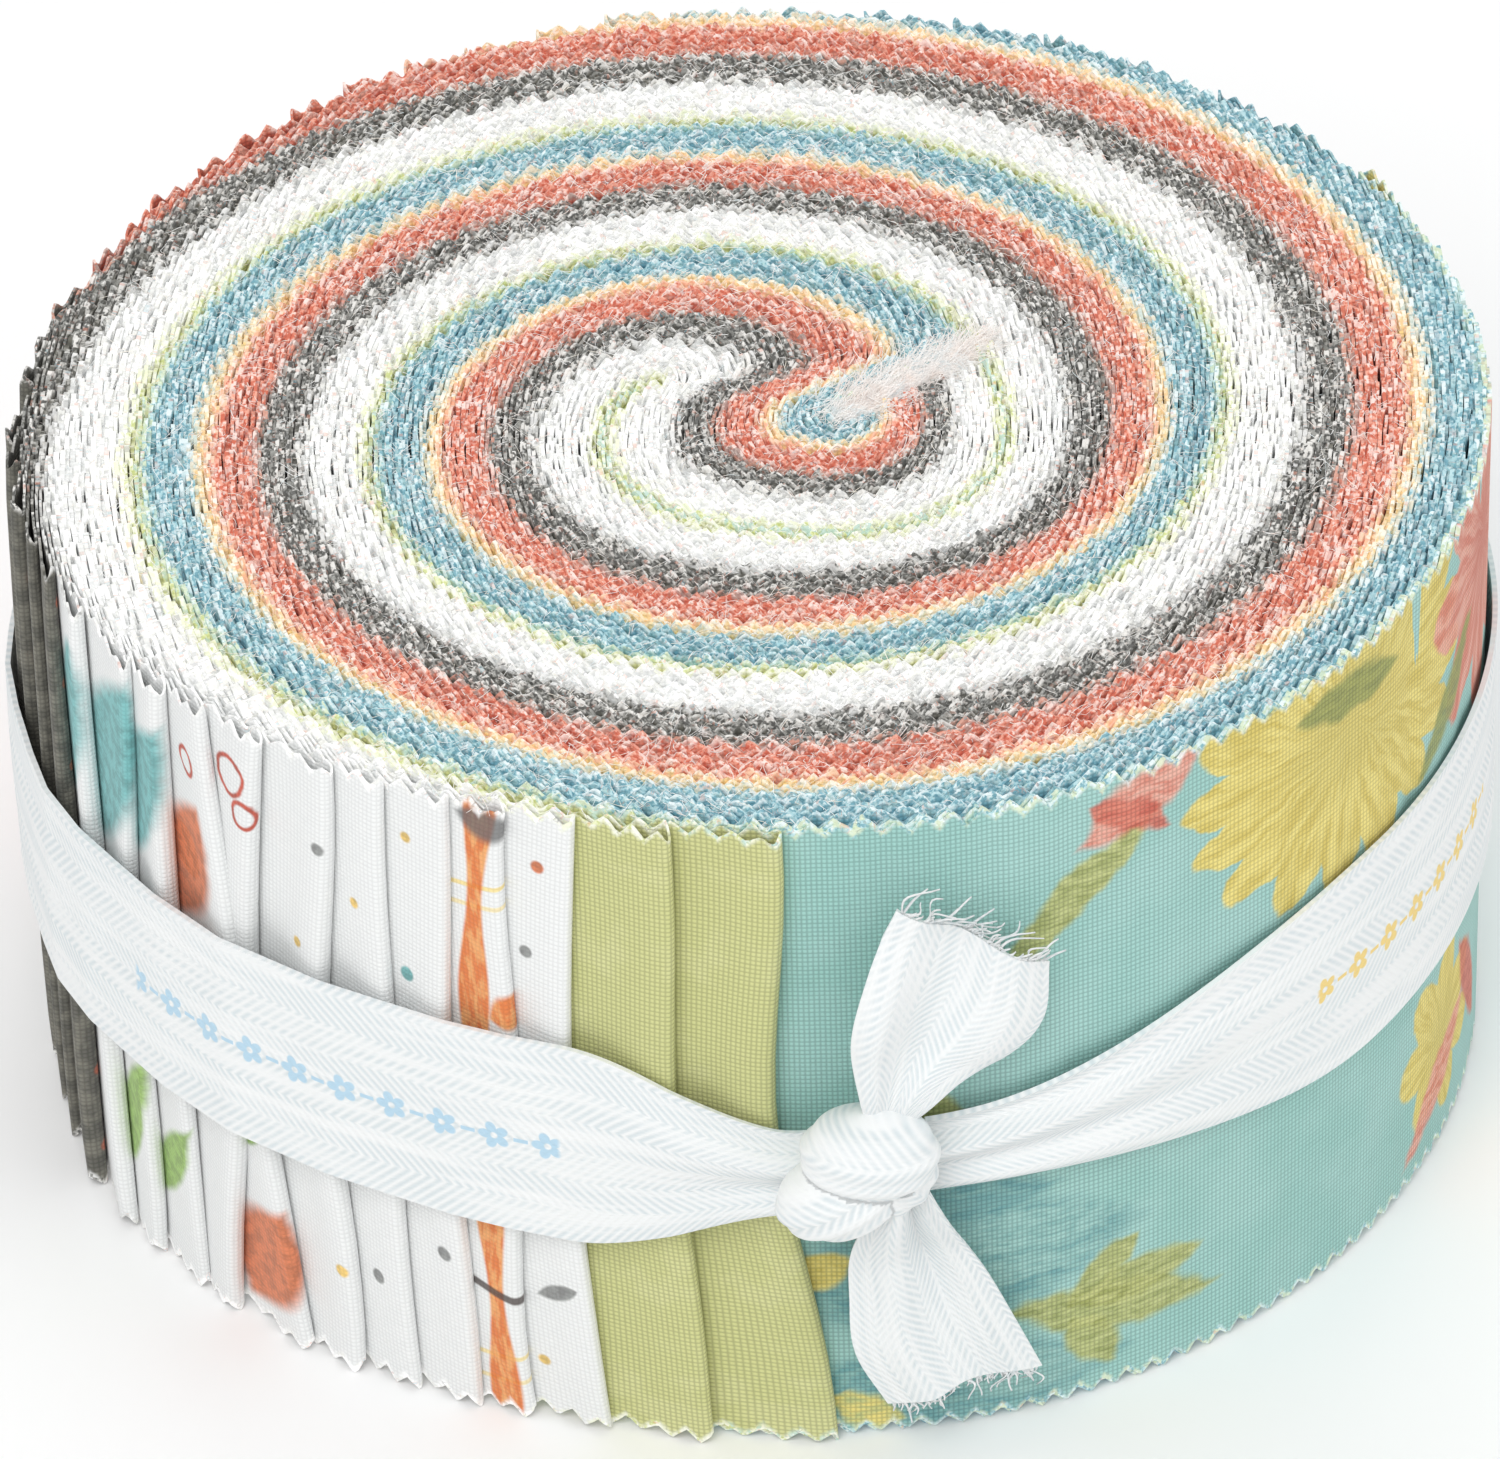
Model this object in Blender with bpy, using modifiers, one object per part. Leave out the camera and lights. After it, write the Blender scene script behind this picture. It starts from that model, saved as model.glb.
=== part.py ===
"""A roll of pre-cut quilting strips, stood on its cut edges and tied with a twill tape.

Forty strips are folded in half and stacked. The stack is rolled from an S-shaped core, so
every strip is a spiral sheet standing on edge. The Z axis is the roll's axis, z = 0 is the
plane that the lower pinked edges stand on, and the tape's knot faces -Y.
"""
import math

import bmesh
import bpy
import numpy as np

# Strips, in metres
STRIP_WIDTH = 0.0635            # 2 1/2 in, the roll's height
STRIP_FILL = 0.76               # share of a strip's place in the stack that its solid fills

# The rolled stack, in metres and degrees counted along the roll
TURN_PITCH = 0.01944            # what the outer face gains in each turn
FACE_RADIUS = 0.02621           # outer face at FACE_ANGLE
FACE_ANGLE = 90.0
SLACK = 0.0033                  # how much further out the last turn lies than an even spiral
SLACK_FROM = 585.0
SLACK_TO = 645.0
END_SLACK = 0.0070              # how much the stack opens where the strips end
END_SLACK_FROM = 860.0
END_SLACK_TO = 925.0

# The folds at the strips' outer ends: the last one, and how far apart each cloth's lie
LAST_FOLD = 986.0
FOLD_STEP = {"aqua": 7.5, "yellow": 6.0, "coral": 5.5, "gray": 5.5, "white": 5.6, "green": 8.4}

# The S-shaped core: the stack bends back round an eye, and then round its own inner face
STATION_STEP = 22.5             # corners of the strips are this far apart round the roll
FOLD_ANGLE = 131.0              # where the inner face bends back on itself
TIP_ANGLE = FOLD_ANGLE - 5 * STATION_STEP       # where the outer face bends back
CORE_END_ANGLE = TIP_ANGLE + 360.0              # where the core's first strips would begin
EYE_ANGLE = FOLD_ANGLE + 2 * STATION_STEP - 180.0   # direction of the eye from the axis
EYE_RADIUS = 0.0008             # hollow left in the middle of the eye
AXIS_STRIP = 16                 # the strip that crosses the roll's axis
CORE_START = 4.0                # where the innermost strip begins, in degrees
CORE_START_LAST = 60.0          # where the outermost strip begins
BULGE = 0.0035                  # how far the core pushes the first turn out
BULGE_FROM = 258.0
BULGE_TO = 376.0
TIP_TRAVEL = 30.0               # station count given to the straight run from eye to tip

# Twill tape, in metres and degrees round the axis
TAPE_WIDTH = 0.020
TAPE_THICKNESS = 0.0008
TAPE_HEIGHT = 0.0325            # middle of the tape above the base
TAPE_CLEARANCE = 0.0005
TAPE_WAIST = 0.0068             # width where the tape is gathered into the knot
KNOT_ANGLE = -88.8
KNOT_HALF_ANGLE = 6.3           # the tape stops this far from the middle of the knot
GATHER_ANGLE = 27.0             # the tape is gathered over this much of the roll each side
KNOT_SIZE = (0.0125, 0.0082, 0.0122)
KNOT_GAP = 0.0005
TAIL_THICKNESS = 0.0008
TAIL_GAP = 0.0011

COLOURS = {
    "aqua": (0.24, 0.46, 0.52),
    "yellow": (0.84, 0.66, 0.36),
    "coral": (0.64, 0.22, 0.15),
    "gray": (0.15, 0.15, 0.14),
    "white": (0.86, 0.86, 0.84),
    "green": (0.57, 0.62, 0.24),
    "tape": (0.88, 0.88, 0.87),
}
STACK = (("aqua", 9), ("yellow", 3), ("coral", 8), ("gray", 8), ("white", 10), ("green", 2))
STRIP_COLOURS = [colour for colour, count in STACK for _ in range(count)]
STRIP_COUNT = len(STRIP_COLOURS)


def smooth(value, low, high):
    """0 below low, 1 above high, and an S-curve between them."""
    share = np.clip((value - low) / (high - low), 0.0, 1.0)
    return share * share * (3.0 - 2.0 * share)


def polar(radius, degrees):
    """Points at a radius and an angle round the roll's axis."""
    angle = np.radians(degrees)
    return np.stack([radius * np.cos(angle), radius * np.sin(angle)], axis=-1)


def tight_face(degrees):
    """The outer face's radius if every turn lay as tight as the first: an even spiral."""
    return FACE_RADIUS + TURN_PITCH * (degrees - FACE_ANGLE) / 360.0


def outer_face(degrees):
    """The stack's outer face, which lies looser in the last turn and where the strips end."""
    slack = SLACK * smooth(degrees, SLACK_FROM, SLACK_TO)
    slack = slack + END_SLACK * smooth(degrees, END_SLACK_FROM, END_SLACK_TO)
    return tight_face(degrees) + slack


def inner_face(degrees):
    """The face that the stack lies on: the turn below it, pushed out beside the core."""
    share = np.clip((degrees - BULGE_FROM) / (BULGE_TO - BULGE_FROM), 0.0, 1.0)
    return outer_face(degrees - 360.0) + BULGE * np.sin(math.pi * share) ** 2


def strip_share(number):
    """A strip's place in the stack: 0 at the inner face, 1 at the outer face."""
    return (STRIP_COUNT - number + 0.5) / STRIP_COUNT


def eye_centre():
    """The eye lies so far from the axis that AXIS_STRIP passes through the axis."""
    share = strip_share(AXIS_STRIP)
    reach = inner_face(EYE_ANGLE + 180.0) * (1.0 - share) / share
    return polar(reach + EYE_RADIUS, EYE_ANGLE)


# The stack's path has three stretches: the inner face swings round the eye, the outer face
# runs straight from the eye to the tip, and then both faces wind round the axis.
SWING = CORE_END_ANGLE - FOLD_ANGLE
WIND_START = SWING + TIP_TRAVEL


def station_of(angle):
    """The station along the path where the wound stack is at an angle."""
    return angle - TIP_ANGLE + WIND_START


def faces(station):
    """Both faces of the stack at stations along its path: inner points, outer points."""
    station = np.asarray(station, dtype=float)
    eye = eye_centre()
    fold = polar(inner_face(FOLD_ANGLE), FOLD_ANGLE)
    tip = polar(outer_face(TIP_ANGLE), TIP_ANGLE)
    swing_angle = CORE_END_ANGLE - np.clip(station, 0.0, SWING)
    wind_angle = TIP_ANGLE + np.clip(station - WIND_START, 0.0, None)

    swung = polar(inner_face(swing_angle), swing_angle)
    to_swung = swung - eye
    to_swung /= np.linalg.norm(to_swung, axis=-1, keepdims=True)
    eye_side = eye + EYE_RADIUS * to_swung
    travel = np.clip((station - SWING) / TIP_TRAVEL, 0.0, 1.0)[..., None]
    first_eye_side = eye + EYE_RADIUS * (fold - eye) / np.linalg.norm(fold - eye)
    run = first_eye_side + (tip - first_eye_side) * travel

    inner = polar(inner_face(np.maximum(wind_angle, FOLD_ANGLE)), np.maximum(wind_angle, FOLD_ANGLE))
    inner = np.where((station < SWING)[..., None], swung, inner)
    outer = polar(outer_face(wind_angle), wind_angle)
    outer = np.where((station < WIND_START)[..., None], run, outer)
    outer = np.where((station < SWING)[..., None], eye_side, outer)
    return inner, outer


def strip_points(share, station):
    """Points along a strip, between the two faces of the stack."""
    inner, outer = faces(station)
    return inner + (outer - inner) * share


def fold_place(number):
    """The angle of a strip's fold: each lies one step of its own cloth before the next."""
    return LAST_FOLD - sum(FOLD_STEP[colour] for colour in STRIP_COLOURS[number:])


def strip_span(number):
    """First and last station of a strip: every inner end stops as far from the tip's line."""
    share = strip_share(number)
    first = min(CORE_START / (1.0 - share), CORE_START_LAST)
    return first, station_of(fold_place(number))


def shared_stations():
    """Stations where every strip has a corner, so that neighbours stay parallel."""
    swing = np.arange(0.0, SWING, STATION_STEP)
    run = np.array([SWING, SWING + 0.5 * TIP_TRAVEL])
    wound = station_of(np.arange(TIP_ANGLE, 1090.0, STATION_STEP))
    return np.concatenate([swing, run, wound])


def cut_stations(number):
    """A strip's own stations: the shared ones inside its span, with its two ends."""
    first, last = strip_span(number)
    shared = shared_stations()
    inside = shared[(shared > first + 0.1) & (shared < last - 0.1)]
    return np.concatenate([[first], inside, [last]])


def chord_points(share, stations):
    """Points on the straight chords between the shared stations."""
    shared = shared_stations()
    corners = strip_points(share, shared)
    along_x = np.interp(stations, shared, corners[:, 0])
    along_y = np.interp(stations, shared, corners[:, 1])
    return np.stack([along_x, along_y], axis=-1)


def new_material(name, colour):
    """A matt cotton material of one colour."""
    material = bpy.data.materials.new(name)
    material.use_nodes = True
    shader = material.node_tree.nodes["Principled BSDF"]
    shader.inputs["Base Color"].default_value = (*colour, 1.0)
    shader.inputs["Roughness"].default_value = 0.9
    shader.inputs["Metallic"].default_value = 0.0
    return material


def add_object(name, mesh, material, collection):
    """Link a mesh as a named object with its material."""
    mesh.materials.append(material)
    part = bpy.data.objects.new(name, mesh)
    collection.objects.link(part)
    return part


def quad_sheet(name, grid):
    """An open sheet through a grid of points, its normals along rows x columns."""
    rows, columns = grid.shape[:2]
    index = np.arange(rows * columns).reshape(rows, columns)
    corners = (index[:-1, :-1], index[1:, :-1], index[1:, 1:], index[:-1, 1:])
    quads = np.stack([corner.ravel() for corner in corners], axis=-1)
    mesh = bpy.data.meshes.new(name)
    mesh.from_pydata(grid.reshape(-1, 3).tolist(), [], quads.tolist())
    return mesh


def thicken(part, thickness):
    """Give a sheet its thickness on the side that its normals point to."""
    solid = part.modifiers.new("thickness", "SOLIDIFY")
    solid.thickness = thickness
    solid.offset = 1.0
    solid.use_rim = True


def add_strip(number, material, collection):
    """One folded strip: its narrow plan shape, given the strip's width upwards."""
    stations = cut_stations(number)
    share = strip_share(number)
    half = 0.5 * STRIP_FILL / STRIP_COUNT
    near = chord_points(share - half, stations)
    far = chord_points(share + half, stations)
    plan = np.zeros((2, len(stations), 3))
    plan[0, :, :2] = near
    plan[1, :, :2] = far
    name = "strip_{:02d}_{}".format(number, STRIP_COLOURS[number - 1])
    part = add_object(name, quad_sheet(name, plan), material, collection)
    thicken(part, STRIP_WIDTH)
    return far


def convex_outline(points):
    """Corners of the convex outline round a set of points, anticlockwise."""
    ordered = sorted(map(tuple, points))

    def half_outline(sequence):
        chain = []
        for x, y in sequence:
            while len(chain) > 1:
                (ax, ay), (bx, by) = chain[-2:]
                if (bx - ax) * (y - ay) - (by - ay) * (x - ax) > 0.0:
                    break
                chain.pop()
            chain.append((x, y))
        return chain[:-1]

    return np.array(half_outline(ordered) + half_outline(reversed(ordered)))


def taut_radius(outline, degrees):
    """Radius of the taut loop round the outline, at angles about the axis."""
    edge = np.roll(outline, -1, axis=0) - outline
    normal = np.stack([edge[:, 1], -edge[:, 0]], axis=-1)
    normal /= np.linalg.norm(normal, axis=1, keepdims=True)
    distance = np.sum(normal * outline, axis=1)
    direction = polar(np.ones_like(degrees), degrees)
    return 1.0 / np.max(direction @ normal.T / distance, axis=1)


def round_points(radius, degrees, height):
    """Points at a radius, an angle and a height."""
    flat = polar(radius, degrees)
    return np.concatenate([flat, np.broadcast_to(height, flat.shape[:-1])[..., None]], axis=-1)


def tape_angles(outline):
    """Angles of the tape's corners: one over each corner of the outline, more by the knot."""
    first = KNOT_ANGLE + KNOT_HALF_ANGLE
    last = KNOT_ANGLE + 360.0 - KNOT_HALF_ANGLE
    corners = np.degrees(np.arctan2(outline[:, 1], outline[:, 0]))
    corners = KNOT_ANGLE + (corners - KNOT_ANGLE) % 360.0
    corners = np.sort(corners[(corners > first) & (corners < last)])
    gathers = np.linspace(0.0, GATHER_ANGLE, 8)
    extra = np.concatenate([first + gathers, last - gathers])
    apart = np.min(np.abs(extra[:, None] - corners), axis=1) > 1.0
    ends = (extra == first) | (extra == last)
    return np.unique(np.concatenate([corners, extra[apart | ends]]))


def add_tape_band(outline, material, collection):
    """The tape round the roll, gathered towards the knot from both sides."""
    degrees = tape_angles(outline)
    from_knot = np.minimum(degrees - KNOT_ANGLE, KNOT_ANGLE + 360.0 - degrees) - KNOT_HALF_ANGLE
    width = TAPE_WAIST + (TAPE_WIDTH - TAPE_WAIST) * smooth(from_knot, 0.0, GATHER_ANGLE)
    radius = taut_radius(outline, degrees) + TAPE_CLEARANCE
    low = round_points(radius, degrees, TAPE_HEIGHT - 0.5 * width)
    high = round_points(radius, degrees, TAPE_HEIGHT + 0.5 * width)
    sheet = quad_sheet("tape_band", np.stack([high, low]))
    thicken(add_object("tape_band", sheet, material, collection), TAPE_THICKNESS)


def add_knot(centre, material, collection):
    """The knot: a coarse box with its corners rounded by subdivision."""
    mesh = bpy.data.meshes.new("tape_knot")
    cage = bmesh.new()
    bmesh.ops.create_cube(cage, size=1.0)
    bmesh.ops.subdivide_edges(cage, edges=cage.edges[:], cuts=1, use_grid_fill=True)
    bmesh.ops.scale(cage, vec=KNOT_SIZE, verts=cage.verts[:])
    cage.to_mesh(mesh)
    cage.free()
    knot = add_object("tape_knot", mesh, material, collection)
    knot.location = centre
    soft = knot.modifiers.new("soft", "SUBSURF")
    soft.levels = 1
    soft.render_levels = 1
    mesh.shade_smooth()


def add_tail(name, hinge, reach, spread, lean, material, collection):
    """A free end of the tape: a sheet that widens away from the knot and bows outwards.

    reach is its height from the hinge to its end, spread gives the sideways places of its two
    edges at the root and at the end, and lean is how far its end stands out from its root.
    """
    along = np.linspace(0.0, 1.0, 6)
    across = np.linspace(0.0, 1.0, 5)
    down, side = np.meshgrid(along, across, indexing="ij")
    widen = smooth(down, 0.0, 0.7)
    left = spread[0][0] + (spread[1][0] - spread[0][0]) * widen
    right = spread[0][1] + (spread[1][1] - spread[0][1]) * widen
    sideways = left + (right - left) * side
    bow = lean * np.sin(0.5 * math.pi * down) + 0.0012 * np.sin(math.pi * side) * widen
    places = np.stack([sideways, -bow, reach * down], axis=-1)
    if reach > 0.0:
        places = places[::-1]
    tail = add_object(name, quad_sheet(name, places), material, collection)
    tail.location = hinge
    thicken(tail, TAIL_THICKNESS)


def clear_scene():
    """Remove whatever the scene holds."""
    for item in list(bpy.data.objects):
        bpy.data.objects.remove(item, do_unlink=True)


def build():
    """Make every strip and the tape's band, knot and two tails."""
    clear_scene()
    collection = bpy.data.collections.new("quilting_strip_roll")
    bpy.context.scene.collection.children.link(collection)
    materials = {name: new_material(name, colour) for name, colour in COLOURS.items()}

    outer_edges = []
    for number in range(1, STRIP_COUNT + 1):
        material = materials[STRIP_COLOURS[number - 1]]
        outer_edges.append(add_strip(number, material, collection))
    outline = convex_outline(np.concatenate(outer_edges))

    tape = materials["tape"]
    add_tape_band(outline, tape, collection)
    knot_y = outline[:, 1].min() - KNOT_GAP - 0.5 * KNOT_SIZE[1]
    knot_x = knot_y / math.tan(math.radians(KNOT_ANGLE))
    add_knot((knot_x, knot_y, TAPE_HEIGHT), tape, collection)
    root_y = knot_y + 0.0010
    root_z = 0.5 * KNOT_SIZE[2] + TAIL_GAP
    add_tail("tape_tail_upper", (knot_x, root_y, TAPE_HEIGHT + root_z), 0.0180,
             ((-0.0030, 0.0030), (-0.0015, 0.0145)), 0.0020, tape, collection)
    add_tail("tape_tail_lower", (knot_x, root_y, TAPE_HEIGHT - root_z), -0.0220,
             ((-0.0030, 0.0030), (-0.0010, 0.0135)), 0.0020, tape, collection)


build()
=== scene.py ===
import math

import bpy
import numpy as np
from mathutils import Matrix, Vector


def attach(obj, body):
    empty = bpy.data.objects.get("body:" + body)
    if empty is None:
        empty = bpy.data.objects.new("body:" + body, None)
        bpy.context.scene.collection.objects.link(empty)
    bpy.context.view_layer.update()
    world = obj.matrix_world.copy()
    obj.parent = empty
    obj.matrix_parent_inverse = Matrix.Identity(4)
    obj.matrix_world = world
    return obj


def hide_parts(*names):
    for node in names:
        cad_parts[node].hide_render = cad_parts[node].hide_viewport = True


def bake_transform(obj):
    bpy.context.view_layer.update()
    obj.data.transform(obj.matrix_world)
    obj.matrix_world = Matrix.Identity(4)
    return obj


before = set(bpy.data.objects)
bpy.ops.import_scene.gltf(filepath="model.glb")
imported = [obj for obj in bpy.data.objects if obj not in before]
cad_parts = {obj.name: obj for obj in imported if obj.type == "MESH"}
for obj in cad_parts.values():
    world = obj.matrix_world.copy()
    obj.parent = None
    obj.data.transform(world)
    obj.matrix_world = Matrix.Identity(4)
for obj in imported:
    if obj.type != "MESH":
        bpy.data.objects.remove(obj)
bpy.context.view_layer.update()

# A roll of pre-cut quilting strips tied with a twill tape. Forty strips are folded in half,
# stacked and rolled up from an S-shaped core. All lengths are in metres, angles in degrees.

# ---- Sizes ----------------------------------------------------------------------------------
STRIP_WIDTH = 0.0635
TURN_PITCH = 0.01944
FACE_RADIUS = 0.02621
FACE_ANGLE = 90.0
SLACK = 0.0033
SLACK_FROM = 585.0
SLACK_TO = 645.0
END_SLACK = 0.0070
END_SLACK_FROM = 860.0
END_SLACK_TO = 925.0
STATION_STEP = 22.5
FOLD_ANGLE = 131.0
TIP_ANGLE = FOLD_ANGLE - 5 * STATION_STEP
CORE_END_ANGLE = TIP_ANGLE + 360.0
EYE_ANGLE = FOLD_ANGLE + 2 * STATION_STEP - 180.0
EYE_RADIUS = 0.0008
AXIS_STRIP = 16
CORE_START = 4.0
CORE_START_LAST = 60.0
BULGE = 0.0035
BULGE_FROM = 258.0
BULGE_TO = 376.0
TIP_TRAVEL = 30.0
SWING = CORE_END_ANGLE - FOLD_ANGLE
WIND_START = SWING + TIP_TRAVEL

STACK = (("aqua", 9), ("yellow", 3), ("coral", 8), ("gray", 8), ("white", 10), ("green", 2))
STRIP_COLOURS = [colour for colour, count in STACK for _ in range(count)]
STRIP_COUNT = len(STRIP_COLOURS)

CLOTH = 0.00021                 # thickness of one layer of cotton
TOOTH_PITCH = 0.0023            # pinked edge
TOOTH_DEPTH = 0.0011
COLUMN = TOOTH_PITCH / 6.0      # spacing of a strip's columns along its length
EASE = 0.0011                   # how far a sharp bend in the stack is rounded off
FOLD_ZONE = 0.014               # length of cloth beside a fold that takes part in its shape
FOLD_ROWS = 15

# The folds at the strips' outer ends: the last one, and how far apart each cloth's lie
LAST_FOLD = 986.0
FOLD_STEP = {"aqua": 7.5, "yellow": 6.0, "coral": 5.5, "gray": 5.5, "white": 5.6, "green": 8.4}

# How much further the foot of a fold lies than its top
LEAN = {39: 0.0022, 40: 0.0024}

TAPE_WIDTH = 0.020
TAPE_THICKNESS = 0.00045
TAPE_HEIGHT = 0.0325            # the band's middle, away from the knot
TAPE_WAIST = 0.0070             # how narrow the knot draws the band
WAIST_HEIGHT = 0.0308
TAIL_WEAVE = 0.022              # length of weave laid along a tail
GATHER_RIGHT = 48.0             # where the band is back at its full width
GATHER_LEFT = 24.0
RISE_RIGHT = 36.0               # where the band's middle is back at its full height
RISE_LEFT = 60.0
KNOT_ANGLE = -88.8
KNOT_HALF_ANGLE = 4.6
KNOT_PLACE = (0.0013, -0.0638, 0.0330)
ROLL_FRONT = -0.0583


def smooth(value, low, high):
    """0 below low, 1 above high, and an S-curve between them."""
    share = np.clip((value - low) / (high - low), 0.0, 1.0)
    return share * share * (3.0 - 2.0 * share)


def polar(radius, degrees):
    """Points at a radius and an angle round the roll's axis."""
    angle = np.radians(degrees)
    return np.stack([radius * np.cos(angle), radius * np.sin(angle)], axis=-1)


def unit(vectors):
    """Vectors brought to length 1."""
    return vectors / np.linalg.norm(vectors, axis=-1, keepdims=True)


# ---- Camera ---------------------------------------------------------------------------------
CAMERA_TURN = -7.0
CAMERA_RISE = 36.39
CAMERA_ROLL = -1.71
CAMERA_AWAY = 0.8544
CAMERA_LENS = 237.84
AIM = Vector((-0.00069, 0.0, 0.02940))
AXIS_OFFSET = Vector((-0.00081, -0.00172, 0.0))


def make_camera():
    """A long lens that looks down on the knot's side of the roll.

    The camera stands CAMERA_AWAY from its aim, raised by CAMERA_RISE and rolled by
    CAMERA_ROLL. Aim and place are then moved off the roll's axis and turned round it.
    """
    rise, roll = math.radians(CAMERA_RISE), math.radians(CAMERA_ROLL)
    back = Vector((0.0, -math.cos(rise), math.sin(rise)))
    right = Vector((1.0, 0.0, 0.0))
    up = back.cross(right)
    turned_right = math.cos(roll) * right + math.sin(roll) * up
    turned_up = math.cos(roll) * up - math.sin(roll) * right
    turn = Matrix.Rotation(math.radians(CAMERA_TURN), 3, "Z")
    place = turn @ (AIM + back * CAMERA_AWAY - AXIS_OFFSET)
    axes = Matrix([turn @ turned_right, turn @ turned_up, turn @ back]).transposed()
    data = bpy.data.cameras.new("camera")
    data.sensor_fit = "HORIZONTAL"
    data.sensor_width = 36.0
    data.lens = CAMERA_LENS
    data.clip_start = 0.05
    data.clip_end = 20.0
    camera = bpy.data.objects.new("camera", data)
    bpy.context.scene.collection.objects.link(camera)
    camera.matrix_world = Matrix.Translation(place) @ axes.to_4x4()
    bpy.context.scene.camera = camera


def add_light(name, place, size, power):
    """A square soft light that faces the middle of the roll."""
    data = bpy.data.lights.new(name, "AREA")
    data.shape = "SQUARE"
    data.size = size
    data.energy = power
    light = bpy.data.objects.new(name, data)
    bpy.context.scene.collection.objects.link(light)
    light.location = place
    aim = Vector((0.0, 0.0, 0.03)) - Vector(place)
    light.rotation_euler = aim.to_track_quat("-Z", "Y").to_euler()


def make_studio():
    """Plain pale floor, white surroundings and three soft lights."""
    scene = bpy.context.scene
    scene.view_settings.view_transform = "Standard"
    world = bpy.data.worlds.new("studio")
    scene.world = world
    world.use_nodes = True
    sky = world.node_tree.nodes["Background"]
    sky.inputs["Color"].default_value = (1.0, 1.0, 1.0, 1.0)
    sky.inputs["Strength"].default_value = 0.60
    add_light("key", (-0.35, -0.75, 0.95), 0.7, 6.6)
    add_light("fill", (0.95, -0.45, 0.55), 0.9, 2.2)
    add_light("rear", (0.1, 0.9, 0.8), 0.9, 3.4)
    mesh = bpy.data.meshes.new("floor")
    reach = 3.0
    corners = [(-reach, -reach, 0.0), (reach, -reach, 0.0), (reach, reach, 0.0), (-reach, reach, 0.0)]
    mesh.from_pydata(corners, [], [(0, 1, 2, 3)])
    floor = bpy.data.objects.new("floor", mesh)
    scene.collection.objects.link(floor)
    material = bpy.data.materials.new("pale_floor")
    material.use_nodes = True
    shader = material.node_tree.nodes["Principled BSDF"]
    shader.inputs["Base Color"].default_value = (0.97, 0.97, 0.97, 1.0)
    shader.inputs["Roughness"].default_value = 0.9
    mesh.materials.append(material)


# ---- The rolled stack -----------------------------------------------------------------------
def tight_face(degrees):
    """The outer face's radius if every turn lay as tight as the first: an even spiral."""
    return FACE_RADIUS + TURN_PITCH * (degrees - FACE_ANGLE) / 360.0


def outer_face(degrees):
    """The stack's outer face, which lies looser in the last turn and where the strips end."""
    slack = SLACK * smooth(degrees, SLACK_FROM, SLACK_TO)
    slack = slack + END_SLACK * smooth(degrees, END_SLACK_FROM, END_SLACK_TO)
    return tight_face(degrees) + slack


def inner_face(degrees):
    """The face that the stack lies on: the turn below it, pushed out beside the core."""
    share = np.clip((degrees - BULGE_FROM) / (BULGE_TO - BULGE_FROM), 0.0, 1.0)
    return outer_face(degrees - 360.0) + BULGE * np.sin(math.pi * share) ** 2


def strip_share(number):
    """A strip's place in the stack: 0 at the inner face, 1 at the outer face."""
    return (STRIP_COUNT - number + 0.5) / STRIP_COUNT


def station_of(angle):
    """The station along the stack's path where the wound stack is at an angle."""
    return angle - TIP_ANGLE + WIND_START


def eye_centre():
    """The eye lies so far from the axis that AXIS_STRIP passes through the axis."""
    share = strip_share(AXIS_STRIP)
    reach = inner_face(EYE_ANGLE + 180.0) * (1.0 - share) / share
    return polar(reach + EYE_RADIUS, EYE_ANGLE)


def faces(station):
    """Inner and outer points of the stack along its path.

    The inner face first swings round the eye, then the outer face runs straight from the eye
    to the tip, and from there on both faces wind round the axis.
    """
    eye = eye_centre()
    fold = polar(inner_face(FOLD_ANGLE), FOLD_ANGLE)
    tip = polar(outer_face(TIP_ANGLE), TIP_ANGLE)
    swing_angle = CORE_END_ANGLE - np.clip(station, 0.0, SWING)
    wind_angle = TIP_ANGLE + np.clip(station - WIND_START, 0.0, None)
    swung = polar(inner_face(swing_angle), swing_angle)
    eye_side = eye + EYE_RADIUS * unit(swung - eye)
    travel = np.clip((station - SWING) / TIP_TRAVEL, 0.0, 1.0)[..., None]
    first_eye_side = eye + EYE_RADIUS * unit(fold - eye)
    run = first_eye_side + (tip - first_eye_side) * travel
    wound = np.maximum(wind_angle, FOLD_ANGLE)
    inner = polar(inner_face(wound), wound)
    inner = np.where((station < SWING)[..., None], swung, inner)
    outer = polar(outer_face(wind_angle), wind_angle)
    outer = np.where((station < WIND_START)[..., None], run, outer)
    outer = np.where((station < SWING)[..., None], eye_side, outer)
    return inner, outer


def layer_path(share, first, last):
    """The plan line of one layer, in even steps, with its bends eased.

    The line lies at one share of the way from the inner to the outer face. It is taken at
    even lengths and averaged with its neighbours under a bell curve of width EASE.
    """
    station = np.arange(first, last + 0.125, 0.25)
    inner, outer = faces(station)
    points = inner + (outer - inner) * share
    gone = np.concatenate([[0.0], np.cumsum(np.linalg.norm(np.diff(points, axis=0), axis=1))])
    step = 0.0002
    even = np.arange(0.0, gone[-1], step)
    line = np.stack([np.interp(even, gone, points[:, i]) for i in (0, 1)], axis=-1)
    reach = int(4.0 * EASE / step)
    bell = np.exp(-0.5 * (np.arange(-reach, reach + 1) * step / EASE) ** 2)
    bell /= bell.sum()
    before = 2.0 * line[0] - line[reach:0:-1]
    after = 2.0 * line[-1] - line[-2:-reach - 2:-1]
    long_line = np.concatenate([before, line, after])
    return np.stack([np.convolve(long_line[:, i], bell, mode="valid") for i in (0, 1)], axis=-1)


def lengths(line):
    """Distance travelled along a line of points."""
    return np.concatenate([[0.0], np.cumsum(np.linalg.norm(np.diff(line, axis=0), axis=1))])


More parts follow.
